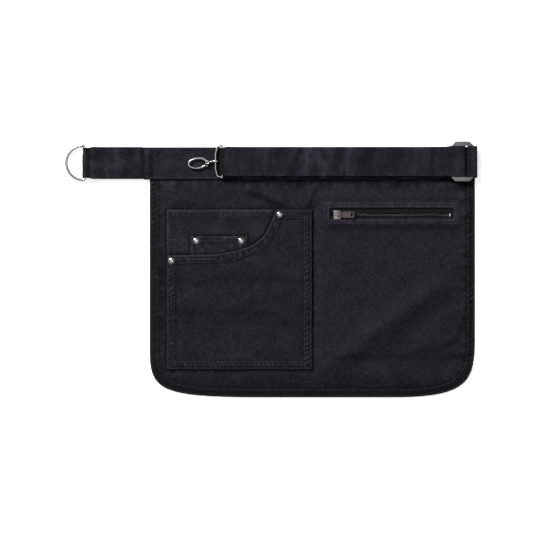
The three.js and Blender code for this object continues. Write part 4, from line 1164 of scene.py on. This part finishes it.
def band_stitches():
    top = box_mm("waistband")[1].z + 0.35
    row = across_at(BAND.bottom + 1.9, BAND.left + 8, LOOP.x + 2)
    sew("band_stitches", (lambda x, y: 0 * x + top, [row]))


def strap_stitches():
    """Rows along both edges of the strap's top layer, and one across it near each end."""
    first = STRAP_WAY.run_at_x(LOOP.x + 5, LOOP_RUN + 3)
    last = STRAP_WAY.run_at_x(SLIDER_MIDDLE, first + 20)
    ends = []
    for across in (1.4, STRAP_WIDTH - 1.4):
        for run in np.arange(first, last, STITCH_PITCH):
            ends.append(strap_stitch((across, run), (across, run + STITCH_LENGTH)))
    for run in (STRAP_WAY.run_at_x(LOOP.x + 7, first), STRAP_WAY.run_at_x(SLIDER.left - 22, first)):
        for across in np.arange(2.5, STRAP_WIDTH - 4, STITCH_PITCH):
            ends.append(strap_stitch((across, run), (across + STITCH_LENGTH, run)))
    bm = bmesh.new()
    lay_stitches(bm, ends, radius=0.36)
    make_piece("strap_stitches", bm, thread)


# Metal


def sweep(bm, points, radii, sides=20, closed=False, matrix=Matrix.Identity(4)):
    """A round wire along a line of placed points, one circle a point, bridged in turn."""
    points = [matrix @ p for p in points]
    loops = []
    last = len(points) - 1
    for i, p in enumerate(points):
        before = points[i - 1] if i or closed else p
        after = points[(i + 1) % len(points)] if i < last or closed else p
        turn = (after - before).to_track_quat("Z", "Y").to_matrix().to_4x4()
        made = bmesh.ops.create_circle(
            bm, cap_ends=False, radius=radii[i], segments=sides, matrix=Matrix.Translation(p) @ turn
        )["verts"]
        loops.append(list({e for v in made for e in v.link_edges}))
    for a, b in list(zip(loops, loops[1:])) + ([(loops[-1], loops[0])] if closed else []):
        bmesh.ops.bridge_loops(bm, edges=a + b)
    if not closed:
        for loop in (loops[0], loops[-1]):
            bmesh.ops.contextual_create(bm, geom=loop)
    bmesh.ops.recalc_face_normals(bm, faces=bm.faces)


def lathe(bm, rows, matrix, steps=28):
    """A round form spun about the X axis from rows of place and radius, then placed."""
    kept = set(bm.verts)
    verts = [bm.verts.new((x, max(r, 1e-4), 0)) for x, r in rows]
    edges = [bm.edges.new(pair) for pair in zip(verts, verts[1:])]
    bmesh.ops.spin(
        bm, geom=verts + edges, angle=2 * math.pi, steps=steps, axis=(1, 0, 0), cent=(0, 0, 0), use_merge=True
    )
    spun = [v for v in bm.verts if v not in kept]
    bmesh.ops.remove_doubles(bm, verts=spun, dist=0.003)
    spun = [v for v in spun if v.is_valid]
    bmesh.ops.transform(bm, matrix=matrix, verts=spun)
    bmesh.ops.recalc_face_normals(bm, faces=list({f for v in spun for f in v.link_faces}))


def nickel_piece(name, bm, node, body="root"):
    make_piece(name, bm, polished_nickel, [node], body=body)


def rounded_corner(corner, back, ahead, radius, steps=8):
    """Points round a corner between two directions."""
    half = math.acos(max(-1.0, min(1.0, back.dot(ahead)))) / 2
    centre = corner + (back + ahead).normalized() * (radius / math.sin(half))
    start = corner + back * (radius / math.tan(half)) - centre
    end = corner + ahead * (radius / math.tan(half)) - centre
    return [centre + start.slerp(end, k / steps) for k in range(steps + 1)]


DOWN, UP, LEFT, RIGHT = Vector((0, -1, 0)), Vector((0, 1, 0)), Vector((-1, 0, 0)), Vector((1, 0, 0))
UPRIGHT = Matrix.Rotation(-math.pi / 2, 4, "Y")


def d_ring():
    """A straight bar at the joint, short arms and a half circle, tilted down to lie on the surface."""
    bow = RING_REACH - RING_WIRE - RING_HALF
    bar = line_through((0, 3 - RING_HALF, 0), (0, RING_HALF - 3, 0))
    top = rounded_corner(Vector((0, RING_HALF, 0)), DOWN, LEFT, RING_CORNER)
    arc = []
    for k in range(45):
        angle = math.pi * k / 44
        arc.append(Vector((-bow - RING_HALF * math.sin(angle), RING_HALF * math.cos(angle), 0)))
    low = [Vector((p.x, -p.y, 0)) for p in reversed(top)]
    line = bar + top + arc + low
    tilt = math.asin((RING.z - RING_WIRE / 2) / (RING_REACH - RING_WIRE))
    matrix = Matrix.Translation(RING) @ Matrix.Rotation(-tilt, 4, "Y")
    bm = bmesh.new()
    sweep(bm, line, [RING_WIRE / 2] * len(line), closed=True, matrix=matrix)
    nickel_piece("ring_wire", bm, "d_ring", "ring")


LOOP_HEIGHT, LOOP_CORNER, LOOP_FOLD_CORNER = 44.9, 3.2, 1.6
HOOK_TILT = math.radians(6)
HOOK_FRAME = Matrix.Translation(HOOK) @ Matrix.Rotation(HOOK_TILT, 4, "Z")
PIVOT_AT, OVAL_X, OVAL_LONG, OVAL_WIDE, HOOK_WIRE = 10.5, -23.3, 11.55, 6.25, 2.3
HOOK_PIVOT = HOOK_FRAME @ Matrix.Translation((-PIVOT_AT, 0, 0)) @ UPRIGHT
HOOK_FROM, HOOK_TO, HOOK_STEPS = 38, 258, 40
GATE_FROM, GATE_TURN, GATE_STEPS = 330, 78, 20
WEDGE_AT, WEDGE_SPREAD, WEDGE_RISE = 44, 26, 0.45
GATE_LOW, GATE_HIGH = 1.57, 2.4
BOSS_ROWS = [
    (-1.7, 1.3), (-1.7, 1.8), (-1.45, 2.15), (-0.9, 2.35), (0.9, 2.35), (1.45, 2.15), (1.7, 1.8), (1.7, 1.3),
    (-1.7, 1.3),
]
STEM_ROWS = [
    (-8.9, 0), (-8.9, 1.05), (-6.2, 1.25), (-5.3, 1.6), (-4.6, 2.15), (-4.2, 2.2), (-3.9, 1.75), (-3.5, 1.75),
    (-3.2, 2.15), (-2.4, 2.15), (-2.0, 1.8), (-2.0, 1.0), (2.0, 1.0), (2.0, 1.75), (2.5, 1.7), (2.9, 1.1),
    (2.95, 0),
]
PIVOT_ROWS = [(-1.3, 0), (-1.3, 2.2), (-1.05, 2.6), (1.0, 2.6), (1.24, 2.3), (1.24, 0)]
PIN_ROWS = [
    (1.0, 0), (1.0, 0.8), (2.75, 0.8), (2.75, 1.7), (3.1, 2.0), (3.35, 1.7), (3.3, 1.2), (1.5, 1.0), (1.4, 0),
]
GATE_EYE_ROWS = [
    (GATE_LOW, 1.15), (GATE_LOW, 1.9), (GATE_LOW + 0.2, 2.1), (GATE_HIGH - 0.2, 2.1), (GATE_HIGH, 1.85),
    (GATE_HIGH, 1.15), (GATE_LOW, 1.15),
]
# A rivet's cap, in shares of its height and radius
CAP_ROWS = [
    (0, 0), (0, 0.93), (0.12, 1.0), (0.3, 0.99), (0.42, 0.9), (0.4, 0.82), (0.62, 0.76), (0.86, 0.5),
    (0.97, 0.25), (1.0, 0),
]


def hook_loop():
    half = (LOOP_HEIGHT - LOOP_WIRE) / 2
    spacing = LOOP.x - HOOK.x
    line = [
        *rounded_corner(Vector((0, half, 0)), DOWN, LEFT, LOOP_FOLD_CORNER),
        *rounded_corner(Vector((-spacing, half, 0)), RIGHT, DOWN, LOOP_CORNER),
        *[Vector((-spacing, y, 0)) for y in (10, 0, -10)],
        *rounded_corner(Vector((-spacing, -half, 0)), UP, RIGHT, LOOP_CORNER),
        *rounded_corner(Vector((0, -half, 0)), LEFT, UP, LOOP_FOLD_CORNER),
    ]
    bm = bmesh.new()
    radii = [LOOP_WIRE / 2] * len(line)
    sweep(bm, line, radii, sides=16, closed=True, matrix=Matrix.Translation(LOOP))
    lathe(bm, BOSS_ROWS, HOOK_FRAME)
    nickel_piece("loop_wire", bm, "hook_loop", "loop")


def oval(degrees):
    angle = math.radians(degrees)
    return Vector((OVAL_X + OVAL_LONG * math.cos(angle), OVAL_WIDE * math.sin(angle), 0))


def hook_body():
    """Stem, pivot, rivet, and the wire from the pivot round to the nose, thickest near its root."""
    bm = bmesh.new()
    lathe(bm, STEM_ROWS, HOOK_FRAME)
    line = [Vector((-PIVOT_AT, 0.3, 0)), Vector((-PIVOT_AT - 1.6, 1.9, 0))]
    radii = [1.7, 1.9]
    for k in range(HOOK_STEPS + 1):
        degrees = HOOK_FROM + (HOOK_TO - HOOK_FROM) * k / HOOK_STEPS
        line.append(oval(degrees))
        wedge = WEDGE_RISE * math.exp(-((degrees - WEDGE_AT) / WEDGE_SPREAD) ** 2)
        radii.append(HOOK_WIRE / 2 + 0.1 + wedge)
    sweep(bm, line, radii, sides=16, matrix=HOOK_FRAME)
    lathe(bm, PIVOT_ROWS, HOOK_PIVOT)
    lathe(bm, PIN_ROWS, HOOK_PIVOT)
    nickel_piece("hook_casting", bm, "hook_body", "hook")


def hook_gate():
    """Wire that closes the oval, a thumb tab, and an arm to the eye on the hook's rivet."""
    bm = bmesh.new()
    line = [oval(GATE_FROM - GATE_TURN * k / GATE_STEPS) for k in range(GATE_STEPS + 1)]
    sweep(bm, line, [HOOK_WIRE / 2 + 0.1] * len(line), sides=16, matrix=HOOK_FRAME)
    start = line[0]
    tab = [start + Vector((0.2, 0.1, 0)), *line_through((-12.4, -3.9, 0), (-11.4, -5.0, 0), (-10.7, -6.1, 0))]
    sweep(bm, tab, [1.0, 1.4, 1.35, 0.9], sides=12, matrix=HOOK_FRAME)
    lathe(bm, GATE_EYE_ROWS, HOOK_PIVOT)
    arm = line_through(
        (-PIVOT_AT - 1.2, -1.0, 1.95), (start.x + 0.3, start.y + 0.2, 1.6), (start.x, start.y, 0.2)
    )
    sweep(bm, arm, [0.55, 0.8, 0.95], sides=12, matrix=HOOK_FRAME)
    nickel_piece("gate_casting", bm, "hook_gate", "gate")


def polished_copy(name, node, finish, body, width):
    """A copy of a solid with its flat faces joined and its edges rounded."""
    bm = bmesh.new()
    bm.from_mesh(frame["nodes"][node].data)
    bmesh.ops.remove_doubles(bm, verts=bm.verts, dist=1e-6)
    bmesh.ops.dissolve_limit(bm, angle_limit=math.radians(1), verts=bm.verts, edges=bm.edges)
    bmesh.ops.transform(bm, matrix=Matrix.Scale(1 / MM, 4), verts=bm.verts)
    sharp = [e for e in bm.edges if len(e.link_faces) == 2 and e.calc_face_angle() > math.radians(25)]
    bmesh.ops.bevel(
        bm, geom=sharp, offset=width, segments=3, profile=0.5, material=-1, affect="EDGES", clamp_overlap=True
    )
    made = make_piece(name, bm, finish, [node], body=body)
    made.data.set_sharp_from_angle(angle=math.radians(35))


def rivets():
    for node in ("rivet_coin_left", "rivet_coin_right", "rivet_opening_left", "rivet_opening_right"):
        low, high = box_mm(node)
        radius, height = (high.x - low.x) / 2, high.z - low.z
        place = Matrix.Translation(((low.x + high.x) / 2, (low.y + high.y) / 2, low.z + PUFF))
        bm = bmesh.new()
        lathe(bm, [(z * height, r * radius) for z, r in CAP_ROWS], place @ UPRIGHT)
        nickel_piece(node + "_cap", bm, node)


# Stage


def link(name, data):
    made = bpy.data.objects.new(name, data)
    bpy.context.scene.collection.objects.link(made)
    return made


def studio():
    floor = bmesh.new()
    bmesh.ops.create_grid(floor, x_segments=1, y_segments=1, size=6.0)
    mesh = bpy.data.meshes.new("floor")
    floor.to_mesh(mesh)
    floor.free()
    ground = link("floor", mesh)
    material, _, shader = new_material("pale_paper")
    # The paper lies on a light table, so shadows on it stay pale.
    settle(shader, {
        "Base Color": linear("#fbfbfb"), "Roughness": 0.9,
        "Emission Color": linear("#ffffff"), "Emission Strength": 0.6,
    })
    mesh.materials.append(material)
    ground.location.z = -0.0002

    world = bpy.data.worlds.new("studio")
    bpy.context.scene.world = world
    world.use_nodes = True
    tree = world.node_tree
    background = tree.nodes["Background"]
    background.inputs["Color"].default_value = (0.92, 0.94, 1.0, 1)
    # The room is dark at the horizon and brighter overhead, so round metal gets dark sides.
    place = add(tree, "TexCoord").outputs["Generated"]
    height = add(tree, "SeparateXYZ", {"Vector": place}).outputs["Z"]
    tree.links.new(remap(tree, height, 0.5, 0.97, 0.03, 0.55), background.inputs["Strength"])

    for name, place, size, watts in (("key", (-2.5, 3.3, 3.2), 1.1, 330), ("top", (0.1, 0.1, 2.6), 1.3, 4)):
        lamp = bpy.data.lights.new(name, "AREA")
        lamp.shape = "SQUARE"
        lamp.size = size
        lamp.energy = watts
        held = link(name, lamp)
        held.location = place
        held.rotation_mode = "QUATERNION"
        held.rotation_quaternion = (-Vector(place)).to_track_quat("-Z", "Y")


def camera():
    """Straight above, as far as a long lens stands, framing what the photograph frames."""
    distance, seen, centre = 2.0, 0.6966, Vector((-0.0012, -0.0005))
    lens = bpy.data.cameras.new("camera")
    lens.sensor_width = 36
    lens.lens = lens.sensor_width * distance / seen
    held = link("camera", lens)
    held.location = (centre.x, centre.y, distance + 0.004)
    bpy.context.scene.camera = held
    bpy.context.scene.view_settings.view_transform = "Standard"


camera()
studio()
apron_cloth()
band_cloth()
tab_cloth()
strap_cloth()
pocket_front_cloth()
facing_cloth()
coin_cloth()
bag_cloth()
tape_cloth("upper_tape_cloth", "zip_tape_upper")
tape_cloth("lower_tape_cloth", "zip_tape_lower")
zip_teeth()
panel_stitches()
pocket_stitches()
facing_stitches()
band_stitches()
strap_stitches()
d_ring()
hook_loop()
hook_body()
hook_gate()
polished_copy("slider_frame", "strap_slider", satin_nickel, "root", 0.25)
polished_copy("zip_runner", "zip_slider", cast_nickel, "root", 0.55)
polished_copy("zip_pull", "zip_puller", gunmetal, "puller", 0.14)
polished_copy("zip_stop", "zip_end_stop", polished_nickel, "root", 0.2)
rivets()
